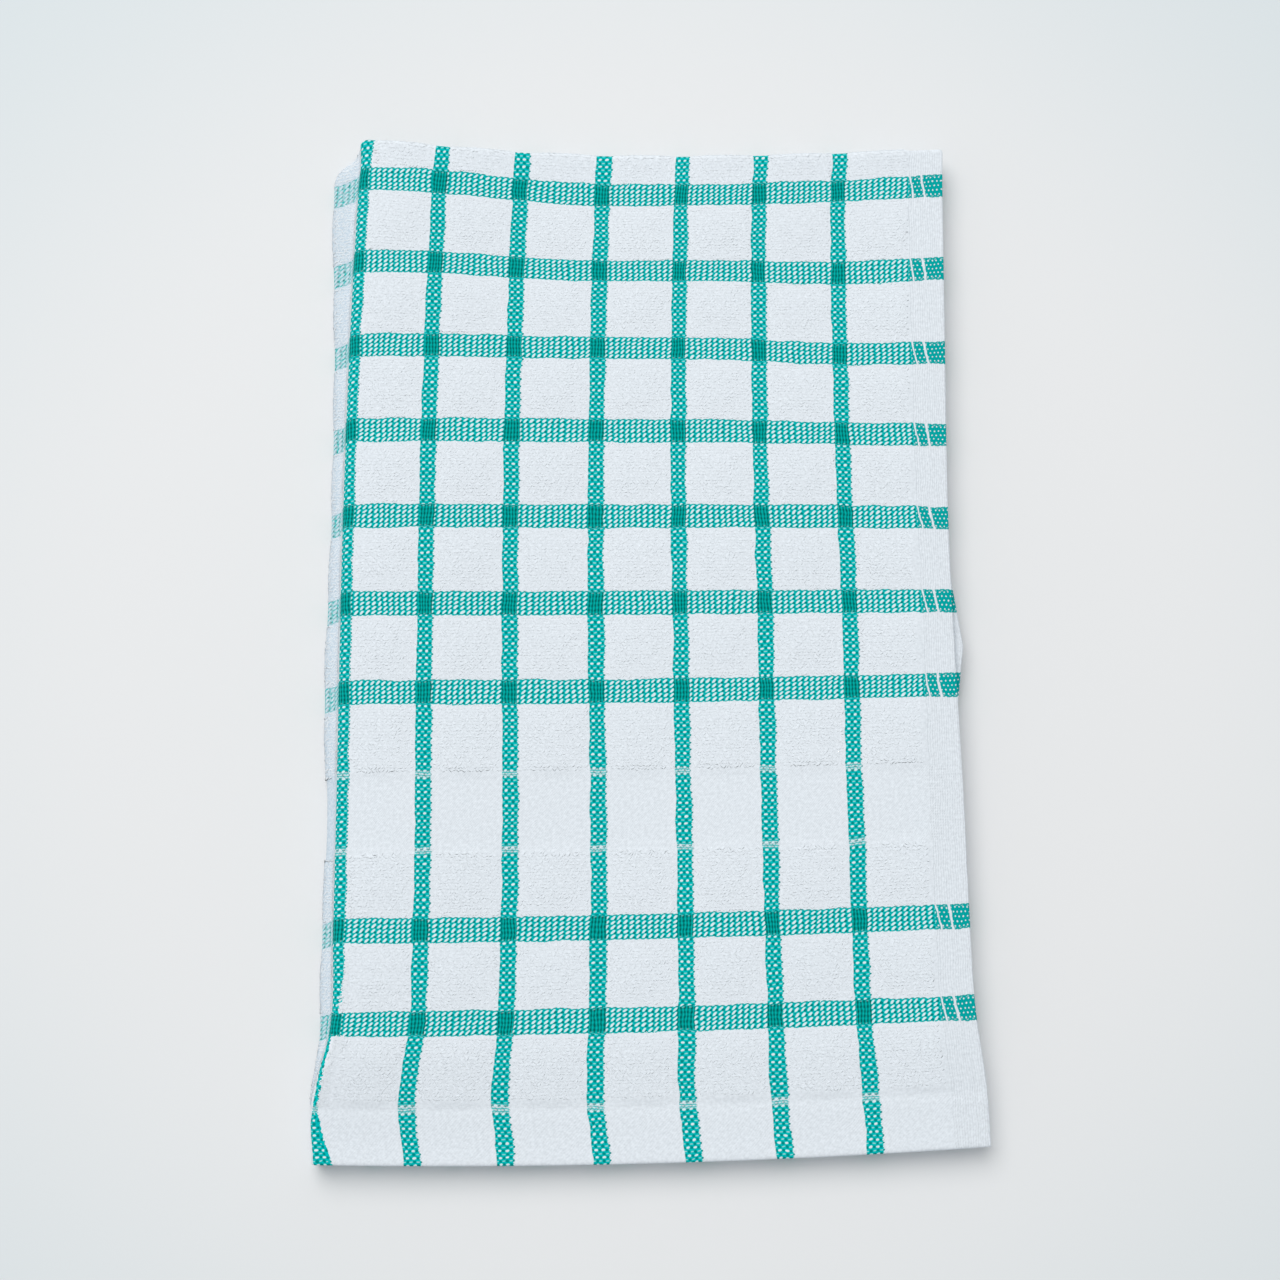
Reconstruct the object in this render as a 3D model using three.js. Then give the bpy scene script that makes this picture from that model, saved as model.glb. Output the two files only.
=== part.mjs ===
// A checked terry kitchen cloth, folded in half across its length and then
// in half along it, lying flat with its folded side to the left.
// Millimetres, +Z up. The cloth rests on z = 0, its cross fold lies towards +Y,
// its hems towards -Y and its selvedges towards +X.
//
// A place on the cloth is (across, along). across runs from the middle of the
// cloth to its selvedges, positive in the half that lies on top. along runs from
// the cross fold to the hems, positive in the outer half, negative in the inner one.
import * as THREE from "three";

// The cut cloth
const clothWidth = 442;
const clothLength = 700;
const halfWidth = clothWidth / 2;
const halfLength = clothLength / 2;

// The terry weave, and the places woven flat
const pileThickness = 2.0;
const flatThickness = 1.4;
const selvedgeWidth = 11.5;
const selvedgeLine = halfWidth - selvedgeWidth;
const bandStart = 222.5;
const bandEnd = 248;
const hemWidth = 17.5;
const weaveStep = 1;

// The stack of four layers, as heights of their middles over the surface
const layerPitch = 3;
const foldCrown = 3.2;
const foldCrownReach = 75;
const hemPitchLoss = 0.45;
const edgePitchLoss = 0.35;
const waveHeight = 0.26;

// The long fold. Its upper shoulder drops steeply, and its foot stands out as a lip.
const ridgeStripe = 14.3;
const lipShoulderRadius = 3;
const lipWallAngle = THREE.MathUtils.degToRad(76);
const lipHollowRadius = 2.6;
const lipShelfAngle = THREE.MathUtils.degToRad(14);
const noseRadius = 1.45;
const plainShoulderRadius = 2;
const lipShoulderShift = 1.9;
const plainShoulderShift = -1;
const innerFoldInset = 3.6;
const cornerPull = 2.4;
const cornerReach = 7;
const noseSqueeze = 0.25;
const noseSqueezeReach = 12;
const cornerSqueeze = 0.45;
const cornerSqueezeReach = 26;
const foldSpare = 1.5;
const leastLip = 0.2;
const leastLipReach = 8.4;

// The cross fold, and how far the layers below stay behind the top one
const crossRadius = layerPitch / 2;
const crossReach = (crossRadius * Math.PI) / 2;
const lowerEdgeInset = 2.5;
const innerEdgeInset = 1;
const innerPeek = 4.4;
const innerPeekMiddle = 180;
const innerPeekReach = 36;
const innerHemInset = 1.4;
const lowerHemInset = 1.2;

// The folded cloth's outline, one row for each section across it:
// along   distance from the cross fold
// open    x of the selvedge
// ridge   x of the woven stripe that runs along the fold's shoulder
// nose    x of the outermost point of the fold
// lip     0 where the fold is a plain bend, 1 where its foot stands out
// left, middle, right   y of that section at the ridge, halfway and at the selvedge,
//                       counted from where a straight cloth would lie
const sections = [
  { along: 0, open: 107, ridge: -98.8, nose: -104.6, lip: 0.15, left: 179.4, middle: 174.3, right: 177.2 },
  { along: 7, open: 106.7, ridge: -99.4, nose: -111.6, lip: 0.85, left: 178, middle: 173.6, right: 177.3 },
  { along: 15, open: 106.4, ridge: -100, nose: -112.4, lip: 1, left: 176.5, middle: 172.9, right: 177.4 },
  { along: 75, open: 105.2, ridge: -101.3, nose: -110, lip: 1, left: 175, middle: 175.6, right: 174.3 },
  { along: 135, open: 104.3, ridge: -101.5, nose: -109, lip: 1, left: 173.6, middle: 174.6, right: 174 },
  { along: 195, open: 105.2, ridge: -101, nose: -109.2, lip: 1, left: 172.4, middle: 173.7, right: 175.9 },
  { along: 235, open: 106.2, ridge: -100.4, nose: -107.2, lip: 0.9, left: 172.3, middle: 174, right: 176.8 },
  { along: 274, open: 106.7, ridge: -100, nose: -107.5, lip: 0.9, left: 172.4, middle: 174.2, right: 177.7 },
  { along: 304, open: 107.5, ridge: -99.8, nose: -107.2, lip: 0.9, left: 172.6, middle: 174.4, right: 178.2 },
  { along: 330, open: 110.3, ridge: -104.6, nose: -108.7, lip: 0.4, left: 173.8, middle: 174.8, right: 179.7 },
  { along: 350, open: 111.1, ridge: -103.2, nose: -107.4, lip: 0, left: 174.6, middle: 175.2, right: 180.3 },
];

const smooth = (x) => {
  const t = Math.min(1, Math.max(0, x));
  return t * t * (3 - 2 * t);
};
const mix = (a, b, t) => a + (b - a) * t;
const bump = (x, middle, reach) => smooth(1 - Math.abs(x - middle) / reach);

// A column of the table at any distance along, as a smooth curve through its rows.
function columnAt(name, along) {
  const last = sections.length - 1;
  let i = 0;
  while (i < last - 1 && along > sections[i + 1].along) i += 1;
  const slope = (k) => {
    const before = sections[Math.max(0, k - 1)];
    const after = sections[Math.min(last, k + 1)];
    return (after[name] - before[name]) / (after.along - before.along);
  };
  const a = sections[i];
  const b = sections[i + 1];
  const span = b.along - a.along;
  const t = Math.min(1, Math.max(0, (along - a.along) / span));
  const t2 = t * t;
  const t3 = t2 * t;
  return (
    (2 * t3 - 3 * t2 + 1) * a[name] +
    (t3 - 2 * t2 + t) * span * slope(i) +
    (3 * t2 - 2 * t3) * b[name] +
    (t3 - t2) * span * slope(i + 1)
  );
}

// The curve through the left, middle and right values of a section.
function bowAt(across, along) {
  const x = Math.max(ridgeStripe, Math.abs(across));
  const middle = (ridgeStripe + halfWidth) / 2;
  const half = (halfWidth - ridgeStripe) / 2;
  const t = (x - middle) / half;
  const left = columnAt("left", along);
  const centre = columnAt("middle", along);
  const right = columnAt("right", along);
  return centre + ((right - left) / 2) * t + ((right + left) / 2 - centre) * t * t;
}

// How far apart the two middle layers lie: a crown at the fold, a gentle wave,
// and less height at the hems and the selvedges.
function middleGap(across, along) {
  const fromFold = Math.max(0, Math.abs(across) - ridgeStripe);
  const nearFold = Math.exp(-((fromFold / foldCrownReach) ** 2) * 2.2);
  const nearHem = smooth((along - (halfLength - 2.2 * hemWidth)) / (2 * hemWidth));
  const nearEdge = smooth((Math.abs(across) - selvedgeLine) / selvedgeWidth);
  const wave =
    Math.sin(across / 19 + along / 47) * Math.sin(along / 33 + 0.6) +
    0.7 * Math.sin(across / 31 - along / 71 + 2);
  const crown = foldCrown * nearFold * (1 - 0.85 * nearHem);
  const calm = 1 - nearHem;
  return layerPitch + crown + waveHeight * wave * calm - hemPitchLoss * nearHem - edgePitchLoss * nearEdge;
}

// Heights of the middles of the four layers, numbered from below.
function layerHeight(layer, across, along) {
  const nearHem = smooth((along - (halfLength - 2.2 * hemWidth)) / (2 * hemWidth));
  const pitch = layerPitch - hemPitchLoss * nearHem;
  const ground = pileThickness / 2;
  if (layer === 0) return ground;
  if (layer === 1) return ground + pitch;
  const upper = ground + pitch + middleGap(across, along);
  return layer === 2 ? upper : upper + pitch;
}

// Where a path of arcs and straights gets to, as { x, z } from its start, heading left.
// turn is positive towards the surface below.
function walk(steps, distance) {
  let x = 0;
  let z = 0;
  let heading = 0;
  let left = distance;
  for (const step of steps) {
    const whole = step.turn ? step.radius * Math.abs(step.turn) : step.straight;
    const part = Math.min(left, whole);
    if (step.turn) {
      const turned = Math.sign(step.turn) * (part / step.radius);
      const side = Math.sign(step.turn) * step.radius;
      x += side * (Math.sin(heading + turned) - Math.sin(heading));
      z += side * (Math.cos(heading + turned) - Math.cos(heading));
      heading += turned;
    } else {
      x += part * Math.cos(heading);
      z -= part * Math.sin(heading);
    }
    left -= part;
    if (left <= 0) break;
  }
  return { x: -x, z };
}
const pathLength = (steps) =>
  steps.reduce((sum, s) => sum + (s.turn ? s.radius * Math.abs(s.turn) : s.straight), 0);

// The fold with a lip at its foot: shoulder, wall, hollow, shelf and nose.
function lipSteps(drop, reach) {
  const hollowTurn = lipWallAngle - lipShelfAngle;
  const down =
    lipShoulderRadius * (1 - Math.cos(lipWallAngle)) +
    lipHollowRadius * (Math.cos(lipShelfAngle) - Math.cos(lipWallAngle)) +
    noseRadius * (1 + Math.cos(lipShelfAngle));
  const out =
    lipShoulderRadius * Math.sin(lipWallAngle) +
    lipHollowRadius * (Math.sin(lipWallAngle) - Math.sin(lipShelfAngle)) +
    noseRadius * (1 - Math.sin(lipShelfAngle)) +
    pileThickness / 2;
  const rise = drop - down;
  const run = reach - out;
  const turned = Math.sin(hollowTurn);
  const wall = (rise * Math.cos(lipShelfAngle) - run * Math.sin(lipShelfAngle)) / turned;
  const shelf = (run * Math.sin(lipWallAngle) - rise * Math.cos(lipWallAngle)) / turned;
  return [
    { radius: lipShoulderRadius, turn: lipWallAngle },
    { straight: wall },
    { radius: lipHollowRadius, turn: -hollowTurn },
    { straight: shelf },
    { radius: noseRadius, turn: Math.PI - lipShelfAngle },
  ];
}

// The plain bend at the fold's two ends: shoulder, upright wall and nose.
function plainSteps(drop) {
  return [
    { radius: plainShoulderRadius, turn: Math.PI / 2 },
    { straight: drop - plainShoulderRadius - noseRadius },
    { radius: noseRadius, turn: Math.PI / 2 },
  ];
}

// The fold's own measures at a distance along: the x of its shoulder, the places
// across where the outer and the inner bend start and end, and its two shapes.
function foldAt(along) {
  const lip = columnAt("lip", along);
  const ridge = columnAt("ridge", along);
  const shift = mix(plainShoulderShift, lipShoulderShift, lip);
  const shoulder = ridge + shift;
  const start = ridgeStripe + shift;
  const drop = layerHeight(3, start, along) - layerHeight(0, start, along);
  const plainReach = plainShoulderRadius + pileThickness / 2;
  const reach = shoulder - columnAt("nose", along);
  const lipReach = Math.max(leastLipReach, (reach - plainReach * (1 - lip)) / Math.max(lip, leastLip));
  const plain = plainSteps(drop);
  const lipped = lipSteps(drop, lipReach);
  const end = start - mix(pathLength(plain), pathLength(lipped), lip);
  const foot = mix(walk(plain, Infinity).x, walk(lipped, Infinity).x, lip);
  const innerStart = start + innerFoldInset;
  const innerEnd = end + foot - innerFoldInset;
  return { lip, shoulder, start, end, innerStart, innerEnd, plain, lipped };
}

// One fold shape followed to a place across the cloth, and on under the stack.
function followFold(steps, fold, across, edge) {
  const whole = pathLength(steps);
  const distance = fold.start - across;
  const end = walk(steps, whole);
  if (distance <= whole) return walk(steps, distance);
  const under = (edge - fold.shoulder - end.x) / (halfWidth + fold.start - whole);
  return { x: end.x + under * (distance - whole), z: end.z };
}

// The outer half's cross section: x and z at a place across.
function outerSection(across, along) {
  const fold = foldAt(along);
  const open = columnAt("open", along);
  if (across >= fold.start) {
    const stretch = (open - fold.shoulder) / (halfWidth - fold.start);
    const x = fold.shoulder + stretch * (across - fold.start);
    return { x, z: layerHeight(3, across, along) };
  }
  const plain = followFold(fold.plain, fold, across, open - lowerEdgeInset);
  const lipped = followFold(fold.lipped, fold, across, open - lowerEdgeInset);
  const top = layerHeight(3, fold.start, along);
  return {
    x: fold.shoulder + mix(plain.x, lipped.x, fold.lip),
    z: top + mix(plain.z, lipped.z, fold.lip),
  };
}

// The inner half's cross section: a round bend inside the outer one's fold.
function innerSection(across, along) {
  const fold = foldAt(along);
  const open = columnAt("open", along);
  const bendStart = fold.innerStart;
  const bendEnd = fold.innerEnd;
  const bendX = fold.shoulder + innerFoldInset;
  const upperZ = layerHeight(2, across, along);
  const lowerZ = layerHeight(1, across, along);
  if (across >= bendStart) {
    const peek = innerPeek * bump(along, innerPeekMiddle, innerPeekReach);
    const stretch = (open - innerEdgeInset + peek - bendX) / (halfWidth - bendStart);
    return { x: bendX + stretch * (across - bendStart), z: upperZ };
  }
  if (across > bendEnd) {
    const top = layerHeight(2, bendStart, along);
    const radius = (top - lowerZ) / 2;
    const angle = (Math.PI * (bendStart - across)) / (bendStart - bendEnd);
    return { x: bendX - radius * Math.sin(angle), z: lowerZ + radius * (1 + Math.cos(angle)) };
  }
  const under = (open - lowerEdgeInset - bendX) / (halfWidth + bendEnd);
  return { x: bendX + under * (bendEnd - across), z: lowerZ };
}

// How far the fold's foot is drawn back from the cross fold, which rounds that corner.
function cornerDraw(x, away) {
  const fold = foldAt(away);
  const out = Math.max(0, fold.shoulder - x) / (fold.shoulder - columnAt("nose", away));
  return cornerPull * out * out * Math.exp(-away / cornerReach);
}

// The middle of the cloth at (across, along), in millimetres.
function clothPoint(across, along) {
  const away = Math.abs(along);
  const below = smooth(-across / 60);
  if (away >= crossReach) {
    const inner = along < 0 ? innerHemInset : 0;
    const tuck = ((inner + lowerHemInset * below) * away) / halfLength;
    const place = along > 0 ? outerSection(across, away) : innerSection(across, away);
    const y = bowAt(across, away) - away + tuck - cornerDraw(place.x, away);
    return new THREE.Vector3(place.x, y, place.z);
  }
  const outer = outerSection(across, crossReach);
  const inner = innerSection(across, crossReach);
  const turn = (along / crossReach) * (Math.PI / 2);
  const side = Math.sin(turn);
  const x = mix(inner.x, outer.x, (1 + side) / 2);
  const z = mix(inner.z, outer.z, (1 + side) / 2);
  const gap = Math.hypot(outer.x - inner.x, outer.z - inner.z) / 2;
  const bulge = Math.sqrt(crossRadius * gap);
  const drawn = mix(cornerDraw(inner.x, crossReach), cornerDraw(outer.x, crossReach), (1 + side) / 2);
  const y = bowAt(across, crossReach) - crossReach + bulge * Math.cos(turn) - drawn;
  return new THREE.Vector3(x, y, z);
}

// The sheet's thickness. The pile is squeezed in the sharp bend of the long fold's
// foot, and more so where both folds meet in one corner.
function thicknessAt(across, along) {
  const selvedge = Math.abs(across) > selvedgeLine;
  const band = along > bandStart && along < bandEnd;
  const fold = foldAt(Math.abs(along));
  const nose = bump(across, fold.end + noseRadius, noseSqueezeReach) * smooth(along / crossReach);
  const corner = bump(across, 0, cornerSqueezeReach) * bump(along, 0, cornerSqueezeReach);
  const plump = selvedge || band ? flatThickness : pileThickness;
  return plump * (1 - noseSqueeze * nose) * (1 - cornerSqueeze * corner);
}

// The cloth's upward face direction, from two small steps over its surface.
function clothNormal(across, along) {
  const step = 0.05;
  const a0 = Math.max(-halfWidth, across - step);
  const a1 = Math.min(halfWidth, across + step);
  const l0 = Math.max(-halfLength, along - step);
  const l1 = Math.min(halfLength, along + step);
  const acrossWay = clothPoint(a1, along).sub(clothPoint(a0, along));
  const alongWay = clothPoint(across, l0).sub(clothPoint(across, l1));
  return acrossWay.cross(alongWay).normalize();
}

// Grid lines over the cloth, close together only where it bends or its weave changes.
function spread(from, to, steps) {
  return Array.from({ length: steps }, (_, i) => mix(from, to, i / steps));
}
const upperLines = [
  halfWidth,
  selvedgeLine + weaveStep,
  selvedgeLine - weaveStep,
  ...spread(197, 60, 6),
  ...spread(60, 21, 4),
];
const foldShares = spread(0, 1, 31);
const innerShares = spread(0, 1, 4);
const lowerLines = [
  ...spread(-25, -selvedgeLine + weaveStep, 5),
  -selvedgeLine + weaveStep,
  -selvedgeLine - weaveStep,
  -halfWidth,
];
const alongLines = [
  halfLength,
  ...spread(halfLength - 9, 304, 4),
  ...spread(304, bandEnd + weaveStep, 3),
  bandEnd + weaveStep,
  bandEnd - weaveStep,
  bandStart + weaveStep,
  bandStart - weaveStep,
  ...spread(195, 30, 5),
  ...spread(30, 14, 2),
  ...spread(14, crossReach, 6),
  ...spread(crossReach, -crossReach, 6),
  ...spread(-crossReach, -30, 4),
  ...spread(-30, -304, 4),
  ...spread(-304, -halfLength, 2),
  -halfLength,
];

// The places across of one row's grid lines. Those on the fold move with it.
function acrossLinesAt(along) {
  const fold = foldAt(Math.abs(along));
  const from = fold.start + foldSpare;
  const to = fold.end - foldSpare;
  const outerBend = foldShares.map((share) => mix(from, to, share));
  const innerBend = innerShares.map((share) => mix(to, fold.innerEnd - foldSpare, share));
  return [...upperLines, ...outerBend, ...innerBend, ...lowerLines];
}

// The closed solid: the sheet's upper face, its lower face and its four edges,
// moved so that the origin lies under the middle of its box.
function clothGeometry() {
  const columns = acrossLinesAt(0).length;
  const rows = alongLines.length;
  const positions = [];
  for (const way of [1, -1]) {
    for (const along of alongLines) {
      for (const across of acrossLinesAt(along)) {
        const offset = (way * thicknessAt(across, along)) / 2;
        const point = clothPoint(across, along).addScaledVector(clothNormal(across, along), offset);
        positions.push(point.x, point.y, point.z);
      }
    }
  }
  const index = [];
  const at = (side, row, column) => (side * rows + row) * columns + column;
  const quad = (a, b, c, d) => index.push(a, b, c, a, c, d);
  for (let r = 0; r < rows - 1; r += 1) {
    for (let c = 0; c < columns - 1; c += 1) {
      quad(at(0, r, c), at(0, r + 1, c), at(0, r + 1, c + 1), at(0, r, c + 1));
      quad(at(1, r, c), at(1, r, c + 1), at(1, r + 1, c + 1), at(1, r + 1, c));
    }
  }
  for (let c = 0; c < columns - 1; c += 1) {
    quad(at(1, 0, c), at(0, 0, c), at(0, 0, c + 1), at(1, 0, c + 1));
    quad(at(0, rows - 1, c), at(1, rows - 1, c), at(1, rows - 1, c + 1), at(0, rows - 1, c + 1));
  }
  for (let r = 0; r < rows - 1; r += 1) {
    quad(at(0, r, 0), at(1, r, 0), at(1, r + 1, 0), at(0, r + 1, 0));
    quad(at(1, r, columns - 1), at(0, r, columns - 1), at(0, r + 1, columns - 1), at(1, r + 1, columns - 1));
  }
  const geometry = new THREE.BufferGeometry();
  geometry.setAttribute("position", new THREE.Float32BufferAttribute(positions, 3));
  geometry.setIndex(index);
  geometry.computeBoundingBox();
  const { min, max } = geometry.boundingBox;
  geometry.translate(-(min.x + max.x) / 2, -(min.y + max.y) / 2, -min.z);
  geometry.computeVertexNormals();
  return geometry;
}

const dishcloth = new THREE.Group();
const terry = new THREE.MeshStandardMaterial({ color: 0xe9eef2, roughness: 0.95, metalness: 0 });
const cloth = new THREE.Mesh(clothGeometry(), terry);
cloth.name = "cloth";
dishcloth.add(cloth);

export default dishcloth;
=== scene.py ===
"""A checked terry kitchen cloth, folded in half twice and lying flat.

The cloth is one closed sheet laid in its folds. A place on it is (across, along):
across runs from the middle of the cloth to its selvedges, positive in the half that
lies on top, and along runs from the cross fold to the hems, positive in the outer
half and negative in the inner one. Sizes of the cloth are in millimetres until a
mesh is made, and every mesh is in metres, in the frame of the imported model.
"""

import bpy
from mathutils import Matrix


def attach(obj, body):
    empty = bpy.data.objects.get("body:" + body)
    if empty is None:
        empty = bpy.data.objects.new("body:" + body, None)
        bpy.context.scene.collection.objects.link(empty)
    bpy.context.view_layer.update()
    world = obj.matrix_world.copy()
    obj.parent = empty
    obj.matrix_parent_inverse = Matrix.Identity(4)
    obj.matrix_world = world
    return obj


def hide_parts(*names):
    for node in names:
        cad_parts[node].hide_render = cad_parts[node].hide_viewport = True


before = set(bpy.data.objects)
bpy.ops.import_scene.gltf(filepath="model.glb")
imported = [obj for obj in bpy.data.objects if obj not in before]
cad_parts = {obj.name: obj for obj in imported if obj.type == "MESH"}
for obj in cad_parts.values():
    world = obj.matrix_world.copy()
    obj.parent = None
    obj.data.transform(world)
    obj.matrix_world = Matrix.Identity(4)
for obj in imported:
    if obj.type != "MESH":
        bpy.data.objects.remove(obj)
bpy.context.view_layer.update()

import bpy
import numpy as np
from bpy.props import FloatProperty, FloatVectorProperty, IntProperty, PointerProperty

bl_info = {
    "name": "Folded terry cloth",
    "version": (1, 0, 0),
    "blender": (4, 5, 0),
    "location": "3D View > Sidebar > Cloth",
    "description": "A checked terry kitchen cloth, folded twice, with its pile and its hem",
    "category": "Object",
}

# The cut cloth, in millimetres
CLOTH_WIDTH = 442.0
CLOTH_LENGTH = 700.0
HALF_WIDTH = CLOTH_WIDTH / 2
HALF_LENGTH = CLOTH_LENGTH / 2

# The woven lines and the places woven flat
ACROSS_LINES = (14.3, 41.6, 70.3, 99.6, 127.9, 156.3, 184.8)
ACROSS_FIRST = 14.21
ACROSS_PITCH = 28.42
ALONG_LINES = (15, 45, 75, 105, 135, 165, 195, 274, 304)
ALONG_FIRST = 15.0
ALONG_PITCH = 30.0
ALONG_BREAK = 235.0
ALONG_SHIFT = 19.0
ACROSS_HALF = 2.8
ALONG_HALF = 3.9
SELVEDGE_LINE = 209.5
BAND_START = 222.5
BAND_END = 248.0
HEM_LINE = 332.5
SEAM_LINE = HEM_LINE - 1.2

# How the upper face changes height: the length of a step from one weave to the next, the
# parts of it inside and outside a line's edge, how far a looped square's swell reaches in
# from its sides, and depths under the full pile
WEAVE_STEP = 1.2
STEP_INSIDE = 0.3
STEP_OUTSIDE = 0.9
SWELL_REACH = 9.0
HEM_DEPTH = 0.25
SEAM_DEPTH = 0.1
EDGE_DEPTH = 0.1
UNDER_EDGE_DEPTH = 0.3

# How round the cut edges are, and the share of the thickness that is left at the very edge
HEM_RIM_RADIUS = 1.0
SIDE_RIM_RADIUS = 0.7
LEAST_RIM = 0.12

# The stack of four layers, as heights of their middles over the surface
PILE_THICKNESS = 2.0
LAYER_PITCH = 3.0
FOLD_CROWN = 3.2
FOLD_CROWN_REACH = 75.0
HEM_PITCH_LOSS = 0.45
EDGE_PITCH_LOSS = 0.35
WAVE_HEIGHT = 0.26
HEM_WIDTH = 17.5
SELVEDGE_WIDTH = 11.5

# The long fold: its upper shoulder drops steeply, and its foot stands out as a lip
RIDGE_STRIPE = 14.3
LIP_SHOULDER_RADIUS = 3.0
LIP_WALL_ANGLE = np.radians(76)
LIP_HOLLOW_RADIUS = 2.6
LIP_SHELF_ANGLE = np.radians(14)
NOSE_RADIUS = 1.45
PLAIN_SHOULDER_RADIUS = 2.0
LIP_SHOULDER_SHIFT = 1.9
PLAIN_SHOULDER_SHIFT = -1.0
INNER_FOLD_INSET = 3.6
CORNER_PULL = 2.4
CORNER_REACH = 7.0
NOSE_SQUEEZE = 0.25
NOSE_SQUEEZE_REACH = 12.0
CORNER_SQUEEZE = 0.45
CORNER_SQUEEZE_REACH = 26.0
LEAST_LIP = 0.2
LEAST_LIP_REACH = 8.4

# A distance past the end of any fold's path
WHOLE_WAY = 1e9

# The cross fold, and how far the layers below stay behind the top one
CROSS_RADIUS = LAYER_PITCH / 2
CROSS_REACH = CROSS_RADIUS * np.pi / 2
LOWER_EDGE_INSET = 2.5
INNER_EDGE_INSET = 1.0
INNER_PEEK = 4.4
INNER_PEEK_MIDDLE = 180.0
INNER_PEEK_REACH = 36.0
INNER_HEM_INSET = 1.4
LOWER_HEM_INSET = 1.2
UNDER_REACH = 60.0

# From the cloth's own lines to the middle of the folded model's box
ORIGIN_SHIFT = (0.458, -1.733)

# The folded outline, a row for each section: along, open edge, ridge stripe, nose,
# lip share, and the section's y at the ridge, halfway and at the selvedge
SECTION_NAMES = ("along", "open", "ridge", "nose", "lip", "left", "middle", "right")
SECTIONS = np.array([
    (0, 107, -98.8, -104.6, 0.15, 179.4, 174.3, 177.2),
    (7, 106.7, -99.4, -111.6, 0.85, 178, 173.6, 177.3),
    (15, 106.4, -100, -112.4, 1, 176.5, 172.9, 177.4),
    (75, 105.2, -101.3, -110, 1, 175, 175.6, 174.3),
    (135, 104.3, -101.5, -109, 1, 173.6, 174.6, 174),
    (195, 105.2, -101, -109.2, 1, 172.4, 173.7, 175.9),
    (235, 106.2, -100.4, -107.2, 0.9, 172.3, 174, 176.8),
    (274, 106.7, -100, -107.5, 0.9, 172.4, 174.2, 177.7),
    (304, 107.5, -99.8, -107.2, 0.9, 172.6, 174.4, 178.2),
    (330, 110.3, -104.6, -108.7, 0.4, 173.8, 174.8, 179.7),
    (350, 111.1, -103.2, -107.4, 0, 174.6, 175.2, 180.3),
])

# The photograph's camera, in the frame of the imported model
CAMERA_PLACE = (-0.00104, -0.14383, 0.6440)
CAMERA_TILT = np.radians(12.311)
CAMERA_LENS = 53.96
CAMERA_SENSOR = 36.0

# The soft lamp far to the left, the even light, and how far the surface lies under the
# lowest point, in millimetres, so that no two faces fight
KEY_PLACE = (-1.1, 2.0, 3.7)
KEY_SIZE = 4.2
KEY_COLOUR = (1.0, 0.985, 0.97)
SKY_COLOUR = (0.95, 0.98, 1.0, 1.0)
FLOOR_DROP = 0.02

MM = 0.001


# The cloth's settings, as a user would change them

LENGTH = {"subtype": "DISTANCE", "unit": "LENGTH"}
COLOUR = {"subtype": "COLOR_GAMMA"}


class SheetSettings(bpy.types.PropertyGroup):
    """Sizes and colours of the woven sheet"""

    crown: FloatProperty(
        name="Terry crown", default=0.00035, **LENGTH,
        description="How far a terry square swells over the flat-woven lines round it",
    )
    line_depth: FloatProperty(
        name="Line depth", default=0.0001, **LENGTH,
        description="How far the flat-woven lines lie below the edge of the terry",
    )
    ground: FloatProperty(
        name="Loop ground", default=0.0003, **LENGTH,
        description="How far the ground cloth lies below the tips of the loops",
    )
    white: FloatVectorProperty(
        name="White cotton", default=(0.917, 0.943, 0.968), **COLOUR,
        description="Colour of the bleached yarn",
    )
    loop_white: FloatVectorProperty(
        name="White loops", default=(0.923, 0.949, 0.972), **COLOUR,
        description="Colour of the bleached loops",
    )
    green: FloatVectorProperty(
        name="Green cotton", default=(0.0, 0.765, 0.76), **COLOUR,
        description="Colour of the dyed yarn",
    )


class PileSettings(bpy.types.PropertyGroup):
    """Sizes of the terry loops"""

    pitch: FloatProperty(
        name="Loop spacing", default=0.00106, **LENGTH,
        description="Distance from one loop to the next",
    )
    height: FloatProperty(
        name="Loop height", default=0.00008, **LENGTH,
        description="Height of a loop's arch over its feet",
    )
    width: FloatProperty(
        name="Loop width", default=0.0011, **LENGTH,
        description="Distance between a loop's two feet",
    )
    yarn: FloatProperty(
        name="Yarn radius", default=0.0003, **LENGTH,
        description="Half the thickness of the pile yarn",
    )
    seed: IntProperty(
        name="Seed", default=7, description="Seed of the loops' turns and sizes"
    )


class StitchSettings(bpy.types.PropertyGroup):
    """Sizes of the hem's stitches"""

    length: FloatProperty(
        name="Stitch length", default=0.0026, **LENGTH,
        description="Distance from one needle hole to the next",
    )
    thread: FloatProperty(
        name="Thread radius", default=0.00016, **LENGTH,
        description="Half the thickness of the sewing thread",
    )


class StageSettings(bpy.types.PropertyGroup):
    """The plain surface and the light"""

    floor_size: FloatProperty(
        name="Surface size", default=5.0, **LENGTH,
        description="Side of the plain surface under the cloth",
    )
    key_power: FloatProperty(
        name="Key light", default=130.0, unit="POWER",
        description="Power of the soft light from the far left",
    )
    fill: FloatProperty(
        name="Fill light", default=0.48,
        description="Strength of the even light from all sides",
    )


# The way the cloth lies

def smooth(x):
    t = np.clip(x, 0.0, 1.0)
    return t * t * (3 - 2 * t)


def mix(a, b, t):
    return a + (b - a) * t


def bump(x, middle, reach):
    return smooth(1 - np.abs(x - middle) / reach)


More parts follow.
